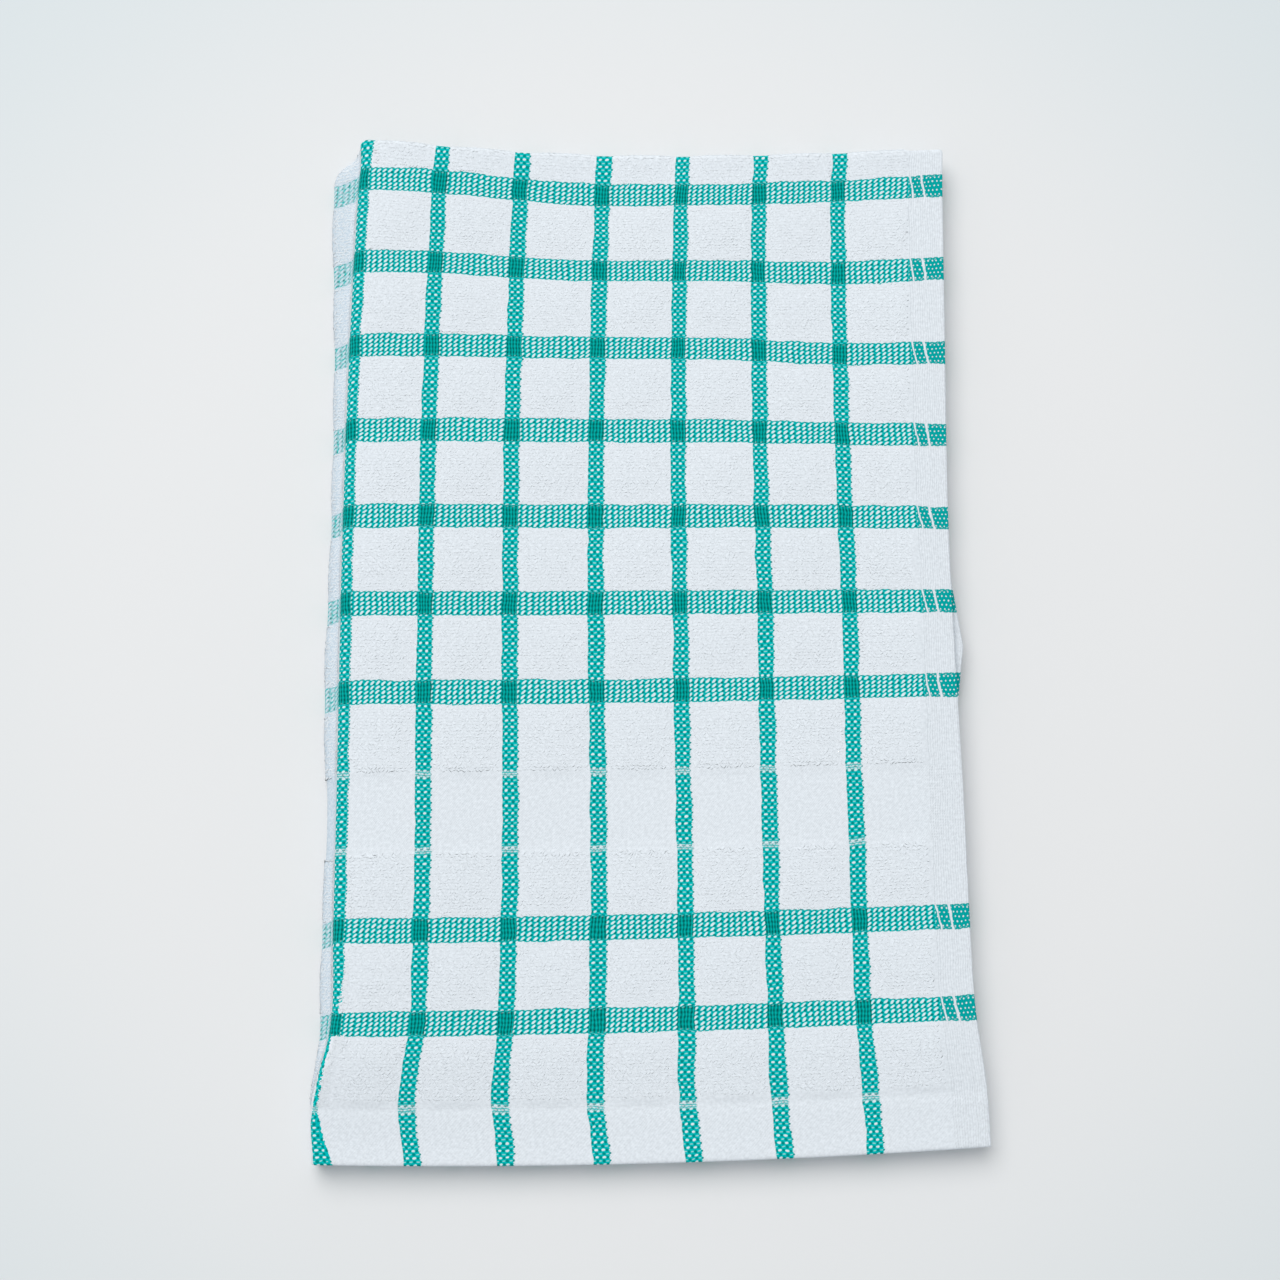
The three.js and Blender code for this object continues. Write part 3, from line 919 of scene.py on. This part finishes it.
def woven_cotton(settings):
    """Bleached and dyed cotton yarn, woven as terry with flat-woven check lines.

    The yarn is matt and soft, so its roughness is high and it has a little sheen.
    The check's dots and dashes are single yarns going over each other: about 2 mm
    apart on the lines, so they show at their real size.
    """
    made, tree = fresh_material("woven cotton terry")
    spots = ("ShaderNodeGroup", {"node_tree": spot_group()})

    # Places on the cloth, in millimetres, a little uneven
    place = add(tree, "ShaderNodeUVMap", uv_map="cloth")
    moved = place
    for scale, detail, far in UNEVEN:
        way = add(tree, NOISE, place, scale, detail, output=1)
        way = add(tree, "ShaderNodeVectorMath", way, (0.5, 0.5, 0.5), operation="SUBTRACT")
        moved = add(
            tree, "ShaderNodeVectorMath", way, (far, far, 0), moved, operation="MULTIPLY_ADD"
        )
    signed_across = add(tree, "ShaderNodeSeparateXYZ", moved)
    across = add(tree, SIZE, signed_across)
    along = add(tree, SIZE, signed_across.node.outputs[1])

    # Signed distances from the middle of the nearest line across and along
    half = ACROSS_PITCH / 2
    from_first = add(tree, MINUS, across, ACROSS_FIRST)
    off_across = add(tree, WRAP, from_first, half, -half)
    past_break = add(tree, ABOVE, along, ALONG_BREAK)
    closed_up = add(tree, TIMES_PLUS, past_break, -ALONG_SHIFT, along)
    half = ALONG_PITCH / 2
    from_first = add(tree, MINUS, closed_up, ALONG_FIRST)
    off_along = add(tree, WRAP, from_first, half, -half)
    side_along = add(tree, SIZE, off_along)

    # The lines down the cloth: straight on one side, toothed on the other
    left_edge = add(tree, SOFT_STEP, off_across, *DOWN_LEFT)
    right_edge = add(tree, SOFT_STEP, off_across, *DOWN_RIGHT)
    body = add(tree, TIMES, left_edge, right_edge)
    tooth_across = add(tree, MINUS, off_across, TOOTH_START)
    teeth = add(tree, spots, tooth_across, along, *TOOTH)
    line_down = add(tree, LARGER, body, teeth)

    # Near the hem, loops spill over the first line from its right, with a ragged edge
    curls = add(tree, NOISE, place, 1.1, 1.0)
    reach = add(tree, SOFT_STEP, along, SPILL_AT[0], SPILL_AT[3])
    past = add(tree, RANGE, along, SPILL_AT[4], HALF_LENGTH, 1.0, 0.1)
    reach = add(tree, TIMES, reach, past)
    reach = add(tree, TIMES_PLUS, reach, SPILL_DRAW, SPILL_BEFORE)
    reach = add(tree, TIMES_PLUS, curls, SPILL_RAGGED, reach)
    elsewhere = add(tree, ABOVE, across, ACROSS_LINES[0] + SPILL_WIDTH)
    bare = add(tree, BELOW, off_across, reach)
    bare = add(tree, LARGER, bare, elsewhere)
    inside = add(tree, BELOW, across, DOWN_STOP)
    line_down = add(tree, TIMES, line_down, bare)
    line_down = add(tree, TIMES, line_down, inside)
    dotted = add(tree, PLUS, off_across, SPILL_NO_DOTS)
    dotted = add(tree, BELOW, dotted, reach)
    dotted = add(tree, LARGER, dotted, elsewhere)

    # White dots, dim dashes half a step off, and shade between them
    dot_across = add(tree, MINUS, off_across, DOT_START)
    dots = add(tree, spots, dot_across, along, *DOT)
    dots = add(tree, TIMES, dots, dotted)
    dash_across = add(tree, MINUS, off_across, DASH_START[0])
    dash_along = add(tree, MINUS, along, DASH_START[1])
    dashes = add(tree, spots, dash_across, dash_along, *DASH)
    dashes = add(tree, TIMES, dashes, dotted)
    beat_across = ripple(tree, dot_across, DOT[0])
    beat_along = ripple(tree, along, DOT[1])
    beat = add(tree, TIMES, beat_across, beat_along)
    shade = add(tree, SOFT_STEP, beat, 0.1, -0.75)

    # The lines across the cloth, hazy where the fold's wall is seen edge on
    line_over = add(tree, SOFT_STEP, side_along, *OVER_EDGE)
    low = add(tree, BELOW, along, OVER_STOP)
    high = add(tree, ABOVE, along, OVER_AGAIN)
    before_hem = add(tree, BELOW, along, OVER_END)
    there = add(tree, LARGER, low, high)
    there = add(tree, TIMES, there, before_hem)
    line_over = add(tree, TIMES, line_over, there)
    wall = add(tree, SOFT_STEP, signed_across, *WALL_EDGE)
    haze = add(tree, TIMES_PLUS, curls, 1.6, -0.4)
    haze = add(tree, TIMES, haze, wall, use_clamp=True)
    line_over = add(tree, MINUS, line_over, haze, use_clamp=True)

    # Slanted white dashes, with painted shadow beside each: a dark spot and a weaker one
    gaps = add(tree, spots, signed_across, off_along, *GAP)
    shadow_spot_across = add(tree, MINUS, signed_across, SHADOW_SPOT_START[0])
    shadow_spot_along = add(tree, MINUS, off_along, SHADOW_SPOT_START[1])
    shadow_spots = add(tree, spots, shadow_spot_across, shadow_spot_along, *SHADOW_SPOT)
    weak_shade_across = add(tree, MINUS, signed_across, WEAK_SHADE_START[0])
    weak_shade_along = add(tree, MINUS, off_along, WEAK_SHADE_START[1])
    turns = add(tree, spots, weak_shade_across, weak_shade_along, *WEAK_SHADE_SPOT)
    rim = add(tree, SOFT_STEP, side_along, *OVER_RIM)
    rim = add(tree, TIMES, rim, gaps)
    line_over = add(tree, MINUS, line_over, rim, use_clamp=True)
    both = add(tree, SOFT_STEP, side_along, *CROSSING_EDGE)
    for share in (line_over, body, inside):
        both = add(tree, TIMES, both, share)

    # The selvedge: fine ribs, and two white slits through each line across
    selvedge = add(tree, SOFT_STEP, across, SELVEDGE_LINE - 0.2, SELVEDGE_LINE + 0.2)
    leaning = add(tree, TIMES_PLUS, off_along, SLIT_LEAN, across)
    slits = 0.0
    for line, start, stop in SLITS:
        slit = add(tree, SOFT_STEP, apart(tree, leaning, line), start, stop)
        slits = add(tree, LARGER, slit, slits)
    edge_dots = add(tree, spots, across, off_along, *EDGE_DOT)

    # Yarn colours
    white = linear(settings.white)
    green = linear(settings.green)
    deep = linear(DEEP_GREEN)
    shadow_colour = linear(SHADOW_GREEN)
    pale_green = linear(PALE_GREEN)
    cloud = add(tree, NOISE, place, 0.9, 3.0)
    cloud = add(tree, RANGE, cloud, 0.3, 0.7, 0.93, 1.05)
    white_yarn = add(tree, COLOUR_MIX, 1.0, white, cloud, blend_type="MULTIPLY")
    # Painted shade on the fold's steep wall: the white turns dimmer and bluer there, mottled
    wall_shade = add(tree, RANGE, curls, 0.3, 0.7, 0.45, 1.0)
    wall_shade = add(tree, TIMES, wall_shade, wall)
    white_yarn = layered(tree, white_yarn, (wall_shade, linear(WALL_SHADE_WHITE)))
    down = layered(
        tree, green,
        (add(tree, TIMES, shade, 0.8), deep),
        (add(tree, TIMES, dashes, 0.5), white_yarn),
        (add(tree, SOFT_STEP, dots, 0.0, 0.5), pale_green),
        (add(tree, SOFT_STEP, dots, 0.4, 0.9), white_yarn),
    )
    # On the lines across: painted shade in the weaker spots, painted shadow in the dark spots, then
    # the white dashes
    over = layered(
        tree, green,
        (add(tree, TIMES, turns, 0.45), deep),
        (add(tree, TIMES, shadow_spots, 0.7), shadow_colour),
        (add(tree, SOFT_STEP, gaps, 0.0, 0.4), pale_green),
        (add(tree, SOFT_STEP, gaps, 0.6, 1.0), white_yarn),
    )
    edge_green = [mix(light, dark, 0.4) for light, dark in zip(green, deep)]
    edge_over = layered(tree, edge_green, (edge_dots, white_yarn), (slits, white_yarn))
    # The crossings' ribs: painted light on each rib, painted shadow between them
    rib = add(tree, TIMES_PLUS, ripple(tree, across, CROSSING_RIB), 0.38, 0.5)
    rib = add(tree, TIMES_PLUS, ripple(tree, along, CROSSING_BEAD), 0.17, rib)
    crossing = add(tree, COLOUR_MIX, rib, shadow_colour, linear(RIB_GREEN))

    # Lines turn pale where the band starts and ends, and where the hem is sewn
    pale = 0.0
    for line, far in PALE_ROWS:
        near = add(tree, SOFT_STEP, apart(tree, along, line), far, far * 0.3)
        pale = add(tree, LARGER, near, pale)
    pale_dashes = add(tree, spots, off_across, along, *PALE_DASH)
    pale_dashes = add(tree, TIMES_PLUS, pale_dashes, 0.62, 0.12)
    pale = add(tree, TIMES, pale, pale_dashes)
    colour = layered(
        tree, white_yarn,
        (line_down, layered(tree, down, (pale, white_yarn))),
        (line_over, layered(tree, over, (selvedge, edge_over))),
        (both, crossing),
    )

    # Heights in millimetres, for the yarns that are finer than the mesh
    flat_rib = ripple(tree, across, FLAT_RIB)
    in_hem = add(tree, ABOVE, along, HEM_LINE)
    twill = add(tree, TIMES_PLUS, across, TWILL_LEAN, along)
    in_band = add(
        tree, WITHIN, along, (BAND_START + BAND_END) / 2, (BAND_END - BAND_START) / 2
    )
    plain = add(tree, TIMES, flat_rib, ripple(tree, along, BAND_THREAD))
    height = 0.0
    for yarns, high in (
        (add(tree, NOISE, place, 1.3, 2.0), 0.14),
        (add(tree, TIMES, selvedge, flat_rib), 0.07),
        (add(tree, TIMES, ripple(tree, twill, TWILL_STEP), in_hem), 0.025),
        (add(tree, TIMES, plain, in_band), 0.04),
        (add(tree, TIMES, line_down, dots), 0.12),
        (add(tree, TIMES, line_over, shadow_spots), -0.05),
    ):
        height = add(tree, TIMES_PLUS, yarns, high, height)
    normal = add(tree, "ShaderNodeBump", 0.7, MM, None, height)

    shader = add(
        tree, "ShaderNodeBsdfPrincipled",
        named={
            "Base Color": colour, "Normal": normal, "Roughness": 0.92,
            "Specular IOR Level": 0.03, "Sheen Weight": 0.01, "Sheen Roughness": 0.6,
        },
    )
    add(tree, "ShaderNodeOutputMaterial", shader)
    return made


def soft_cotton(name, settings):
    """Bleached soft twisted cotton yarn, each loop or stitch a little lighter or darker.

    Light scatters from fibre to fibre in the pile, so it is shaded almost wholly by the
    lie of the cloth under it.
    """
    made, tree = fresh_material(name)
    tone = add(tree, "ShaderNodeAttribute", attribute_name="tone", output=2)
    tone = add(tree, RANGE, tone, 0.0, 1.0, 0.96, 1.04)
    white = linear(settings.loop_white)
    colour = add(tree, COLOUR_MIX, 1.0, white, tone, blend_type="MULTIPLY")
    lie = add(tree, "ShaderNodeAttribute", attribute_name="lie", output=1)
    own = add(tree, "ShaderNodeNewGeometry", output=1)
    normal = add(tree, VECTOR_MIX, 0.95, own, lie)
    normal = add(tree, "ShaderNodeVectorMath", normal, operation="NORMALIZE")
    shader = add(
        tree, "ShaderNodeBsdfPrincipled",
        named={
            "Base Color": colour, "Normal": normal, "Roughness": 0.95,
            "Specular IOR Level": 0.05, "Sheen Weight": 0.05,
        },
    )
    add(tree, "ShaderNodeOutputMaterial", shader)
    return made


def plain_surface():
    """A matt off-white board in even light, with painted shade that makes it greyer away from the
    cloth, where the light falls off.
    """
    made, tree = fresh_material("matt white board")
    place = add(tree, "ShaderNodeTexCoord", output=3)
    far = add(tree, "ShaderNodeVectorMath", place, operation="LENGTH", output=1)
    # Painted shade: greyer with distance from the cloth, where the light falls off towards the
    # edges
    share = add(tree, SOFT_STEP, far, 0.17, 0.37)
    colour = add(tree, COLOUR_MIX, share, linear("#eff0f1"), linear("#dfe7ea"))
    shader = add(
        tree, "ShaderNodeBsdfPrincipled",
        named={"Base Color": colour, "Roughness": 0.9, "Specular IOR Level": 0.1},
    )
    add(tree, "ShaderNodeOutputMaterial", shader)
    return made


# Pieces

class CLOTH_OT_stage(bpy.types.Operator):
    """Sets up the camera, the plain surface and the soft light"""

    bl_idname = "cloth.stage"
    bl_label = "Camera, surface and light"

    def execute(self, context):
        settings = context.scene.cloth_stage
        scene = context.scene
        lens = bpy.data.cameras.new("camera")
        lens.lens = CAMERA_LENS
        lens.sensor_width = CAMERA_SENSOR
        camera = bpy.data.objects.new("camera", lens)
        camera.location = CAMERA_PLACE
        camera.rotation_euler = (CAMERA_TILT, 0, 0)
        scene.collection.objects.link(camera)
        scene.camera = camera
        scene.view_settings.view_transform = "Standard"

        half = settings.floor_size / 2
        corners = np.array([(-1, -1, 0), (1, -1, 0), (1, 1, 0), (-1, 1, 0)]) * half / MM
        corners = corners - (0, 0, FLOOR_DROP)
        floor = mesh_object("floor", corners, np.array([(0, 1, 2, 3)]), False)
        floor.data.materials.append(plain_surface())

        key = bpy.data.lights.new("key", "AREA")
        key.shape = "DISK"
        key.size = KEY_SIZE
        key.energy = settings.key_power
        key.color = KEY_COLOUR
        lamp = bpy.data.objects.new("key", key)
        lamp.location = KEY_PLACE
        lamp.rotation_euler = (-lamp.location).to_track_quat("-Z", "Y").to_euler()
        scene.collection.objects.link(lamp)

        world = bpy.data.worlds.new("even light")
        world.use_nodes = True
        sky = world.node_tree.nodes["Background"]
        sky.inputs["Color"].default_value = SKY_COLOUR
        sky.inputs["Strength"].default_value = settings.fill
        scene.world = world
        return {"FINISHED"}


class CLOTH_OT_sheet(bpy.types.Operator):
    """Lays the woven sheet in its folds and stands it in for the plain solid"""

    bl_idname = "cloth.sheet"
    bl_label = "Woven sheet"

    def execute(self, context):
        settings = context.scene.cloth_sheet
        along = along_grid()
        across = across_grid(along)
        place_along = np.broadcast_to(along[:, None], across.shape)
        middle = cloth_point(across, place_along)
        normal = cloth_normal(across, place_along)
        full = PILE_THICKNESS * squeeze_at(across, place_along)
        rim = rim_share(across, place_along)
        edge = smooth((np.abs(across) - SELVEDGE_LINE) / WEAVE_STEP)
        low_side = (full / 2 - UNDER_EDGE_DEPTH * edge) * rim
        up_side = (full / 2 - relief(across, place_along, settings)) * rim
        upper = middle + normal * up_side[..., None]
        lower = middle - normal * low_side[..., None]
        rows, columns = across.shape
        points = np.concatenate([upper.reshape(-1, 3), lower.reshape(-1, 3)])
        faces = sheet_faces(rows, columns)
        piece = mesh_object("cloth_sheet", points, faces)
        layer = piece.data.uv_layers.new(name="cloth")
        even_across, even_along = woven_place(across, place_along)
        woven = np.stack([weave_across(even_across), even_along], axis=-1).reshape(-1, 2)
        woven = np.concatenate([woven, woven])
        corners = np.empty(len(piece.data.loops), int)
        piece.data.loops.foreach_get("vertex_index", corners)
        layer.data.foreach_set("uv", woven[corners].astype(np.float32).ravel())
        piece.data.materials.append(woven_cotton(settings))
        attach(piece, "root")
        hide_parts("cloth")
        return {"FINISHED"}


def yarn_tree(name, material, segments):
    """Geometry Nodes: a short arch of yarn on every point, turned as the point says."""
    tree = bpy.data.node_groups.new(name, "GeometryNodeTree")
    tree.interface.new_socket("Places", in_out="INPUT", socket_type="NodeSocketGeometry")
    for label in ("Span", "Rise", "Yarn radius", "Twist", "Size spread"):
        tree.interface.new_socket(label, in_out="INPUT", socket_type="NodeSocketFloat")
    tree.interface.new_socket("Seed", in_out="INPUT", socket_type="NodeSocketInt")
    tree.interface.new_socket("Yarns", in_out="OUTPUT", socket_type="NodeSocketGeometry")
    given = tree.nodes.new("NodeGroupInput").outputs
    half = add(tree, TIMES, given["Span"], 0.5)
    back = add(tree, TIMES, given["Span"], -0.5)
    top = add(tree, TIMES, given["Rise"], 2.0)
    arch = add(
        tree, "GeometryNodeCurveQuadraticBezier", segments,
        add(tree, "ShaderNodeCombineXYZ", back, 0.0, 0.0),
        add(tree, "ShaderNodeCombineXYZ", 0.0, 0.0, top),
        add(tree, "ShaderNodeCombineXYZ", half, 0.0, 0.0),
    )
    ring = add(
        tree, "GeometryNodeCurvePrimitiveCircle", 3,
        named={"Radius": given["Yarn radius"]}, mode="RADIUS",
    )
    tube = add(tree, "GeometryNodeCurveToMesh", named={"Curve": arch, "Profile Curve": ring})
    tube = add(tree, "GeometryNodeSetShadeSmooth", tube)
    turn = add(
        tree, "GeometryNodeInputNamedAttribute", data_type="FLOAT_VECTOR",
        named={"Name": "turn"},
    )
    low_twist = add(tree, TIMES, given["Twist"], -1.0)
    twist = add(
        tree, "FunctionNodeRandomValue", data_type="FLOAT_VECTOR",
        named={
            0: add(tree, "ShaderNodeCombineXYZ", 0.0, 0.0, low_twist),
            1: add(tree, "ShaderNodeCombineXYZ", 0.0, 0.0, given["Twist"]),
            "Seed": given["Seed"],
        },
    )
    turned = add(tree, "FunctionNodeRotateRotation", turn, twist, rotation_space="LOCAL")
    least = add(tree, MINUS, 1.0, given["Size spread"])
    most = add(tree, PLUS, 1.0, given["Size spread"])
    size = add(
        tree, "FunctionNodeRandomValue", data_type="FLOAT", output=1,
        named={2: least, 3: most, "Seed": given["Seed"]},
    )
    placed = add(
        tree, "GeometryNodeInstanceOnPoints",
        named={
            "Points": given["Places"], "Instance": tube, "Rotation": turned, "Scale": size,
        },
    )
    tone = add(
        tree, "FunctionNodeRandomValue", data_type="FLOAT", output=1,
        named={"Seed": given["Seed"]},
    )
    toned = add(
        tree, "GeometryNodeStoreNamedAttribute", domain="INSTANCE", data_type="FLOAT",
        named={"Geometry": placed, "Name": "tone", "Value": tone},
    )
    real = add(tree, "GeometryNodeRealizeInstances", toned)
    dyed = add(tree, "GeometryNodeSetMaterial", real, None, material)
    out = tree.nodes.new("NodeGroupOutput")
    tree.links.new(dyed, out.inputs[0])
    return tree


def turns_of(wide, normal):
    """Euler turns that point X along the cloth's width and Z out of its face."""
    x = wide - normal * np.sum(wide * normal, axis=-1, keepdims=True)
    x = x / np.linalg.norm(x, axis=-1, keepdims=True)
    y = np.cross(normal, x)
    return np.stack([
        np.arctan2(y[..., 2], normal[..., 2]),
        -np.arcsin(np.clip(x[..., 2], -1, 1)),
        np.arctan2(x[..., 1], x[..., 0]),
    ], axis=-1)


def yarn_piece(name, tree, points, turns, lies, values):
    """One mesh of yarns on the given points, in millimetres, with the tree's inputs set."""
    places = mesh_object(name + "_places", points, [])
    for label, vectors in (("turn", turns), ("lie", lies)):
        held = places.data.attributes.new(label, "FLOAT_VECTOR", "POINT")
        held.data.foreach_set("vector", vectors.astype(np.float32).ravel())
    modifier = places.modifiers.new("yarns", "NODES")
    modifier.node_group = tree
    for item in tree.interface.items_tree:
        if item.in_out == "INPUT" and item.name in values:
            modifier[item.identifier] = values[item.name]
    shown = places.evaluated_get(bpy.context.evaluated_depsgraph_get())
    mesh = bpy.data.meshes.new_from_object(shown)
    mesh.name = name
    places.modifiers.clear()
    bpy.data.objects.remove(places)
    piece = bpy.data.objects.new(name, mesh)
    bpy.context.scene.collection.objects.link(piece)
    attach(piece, "root")
    return piece


def upper_face(across, along, settings):
    """Points, normals and directions across on the sheet's upper face."""
    middle = cloth_point(across, along)
    normal = cloth_normal(across, along)
    rise = PILE_THICKNESS * squeeze_at(across, along) / 2 - relief(across, along, settings)
    step = 0.2
    wide = cloth_point(across + step, along) - cloth_point(across - step, along)
    return middle + normal * (rise * rim_share(across, along))[..., None], normal, wide


class CLOTH_OT_pile(bpy.types.Operator):
    """Grows the terry's loops between the flat-woven lines"""

    bl_idname = "cloth.pile"
    bl_label = "Terry loops"

    def execute(self, context):
        settings = context.scene.cloth_pile
        sheet = context.scene.cloth_sheet
        tree = yarn_tree("Terry loops", soft_cotton("looped cotton pile", sheet), 3)
        values = {
            "Span": settings.width,
            "Rise": settings.height,
            "Yarn radius": settings.yarn,
            "Twist": LOOP_TWIST,
            "Size spread": LOOP_SPREAD,
            "Seed": settings.seed,
        }
        rng = np.random.default_rng(settings.seed)
        pitch = settings.pitch / MM
        for part, (low, high) in enumerate(zip(PILE_PARTS[:-1], PILE_PARTS[1:])):
            rows = np.arange(low, high, pitch)
            columns = np.arange(FIRST_LOOP, SELVEDGE_LINE - 1.8, pitch)
            along, across = np.meshgrid(rows, columns, indexing="ij")
            across = across + (np.arange(len(rows)) % 2)[:, None] * pitch / 2
            along = along + rng.uniform(-ALONG_STRAY, ALONG_STRAY, along.shape) * pitch
            across = across + rng.uniform(-ACROSS_STRAY, ACROSS_STRAY, along.shape) * pitch
            terry = terry_at(*woven_place(across, along))
            keep = terry > rng.uniform(*RAGGED_EDGE, along.shape)
            keep &= across > fold_at(np.abs(along))["end"] + 1.0
            across = across[keep]
            along = along[keep]
            sunk = LOOP_SUNK + EDGE_LOOP_SUNK * (1 - terry[keep])
            if high > SPILL_AT[-2]:
                more = rng.uniform(SPILL_AT[0], SPILL_AT[-1], SPILL_LOOPS)
                more = more[np.abs(more - ALONG_LINES[8]) > ALONG_HALF]
                reach = np.interp(more, SPILL_AT, SPILL_FROM)
                across = np.append(across, ACROSS_LINES[0] + rng.uniform(reach, SPILL_END))
                along = np.append(along, more)
                sunk = np.append(sunk, -rng.uniform(*SPILL_LIFT, more.shape))
            points, normal, wide = upper_face(across, along, sheet)
            points = points - normal * sunk[:, None]
            turns = turns_of(wide, normal)
            name = "terry_loops_%d" % (part + 1)
            yarn_piece(name, tree, points, turns, normal, values)
        return {"FINISHED"}


class CLOTH_OT_stitches(bpy.types.Operator):
    """Sews the turned hem along its inner edge"""

    bl_idname = "cloth.stitches"
    bl_label = "Hem stitches"

    def execute(self, context):
        settings = context.scene.cloth_stitch
        sheet = context.scene.cloth_sheet
        tree = yarn_tree("Hem stitches", soft_cotton("cotton sewing thread", sheet), 5)
        length = settings.length / MM
        across = np.arange(-HALF_WIDTH + 2, HALF_WIDTH - 1, length)
        along = np.full(across.shape, SEAM_LINE)
        points, normal, wide = upper_face(across, along, sheet)
        points = points - normal * STITCH_SUNK
        values = {
            "Span": settings.length * STITCH_COVER,
            "Rise": settings.thread * 0.8,
            "Yarn radius": settings.thread,
            "Twist": 0.05,
            "Size spread": 0.05,
            "Seed": 3,
        }
        yarn_piece("hem_stitches", tree, points, turns_of(wide, normal), normal, values)
        return {"FINISHED"}


class CLOTH_PT_panel(bpy.types.Panel):
    """Lists the cloth's pieces in the sidebar"""

    bl_idname = "CLOTH_PT_panel"
    bl_label = "Folded terry cloth"
    bl_space_type = "VIEW_3D"
    bl_region_type = "UI"
    bl_category = "Cloth"

    def draw(self, context):
        scene = context.scene
        for title, settings, operator in (
            ("Stage", scene.cloth_stage, "cloth.stage"),
            ("Sheet", scene.cloth_sheet, "cloth.sheet"),
            ("Pile", scene.cloth_pile, "cloth.pile"),
            ("Stitches", scene.cloth_stitch, "cloth.stitches"),
        ):
            box = self.layout.box()
            box.label(text=title)
            for name in settings.__annotations__:
                box.prop(settings, name)
            box.operator(operator)


CLASSES = (
    SheetSettings,
    PileSettings,
    StitchSettings,
    StageSettings,
    CLOTH_OT_stage,
    CLOTH_OT_sheet,
    CLOTH_OT_pile,
    CLOTH_OT_stitches,
    CLOTH_PT_panel,
)


def register():
    for made in CLASSES:
        bpy.utils.register_class(made)
    bpy.types.Scene.cloth_sheet = PointerProperty(type=SheetSettings)
    bpy.types.Scene.cloth_pile = PointerProperty(type=PileSettings)
    bpy.types.Scene.cloth_stitch = PointerProperty(type=StitchSettings)
    bpy.types.Scene.cloth_stage = PointerProperty(type=StageSettings)


def unregister():
    del bpy.types.Scene.cloth_stage
    del bpy.types.Scene.cloth_stitch
    del bpy.types.Scene.cloth_pile
    del bpy.types.Scene.cloth_sheet
    for made in reversed(CLASSES):
        bpy.utils.unregister_class(made)


def main():
    register()
    bpy.ops.cloth.stage()
    bpy.ops.cloth.sheet()
    bpy.ops.cloth.pile()
    bpy.ops.cloth.stitches()


if __name__ == "__main__":
    main()
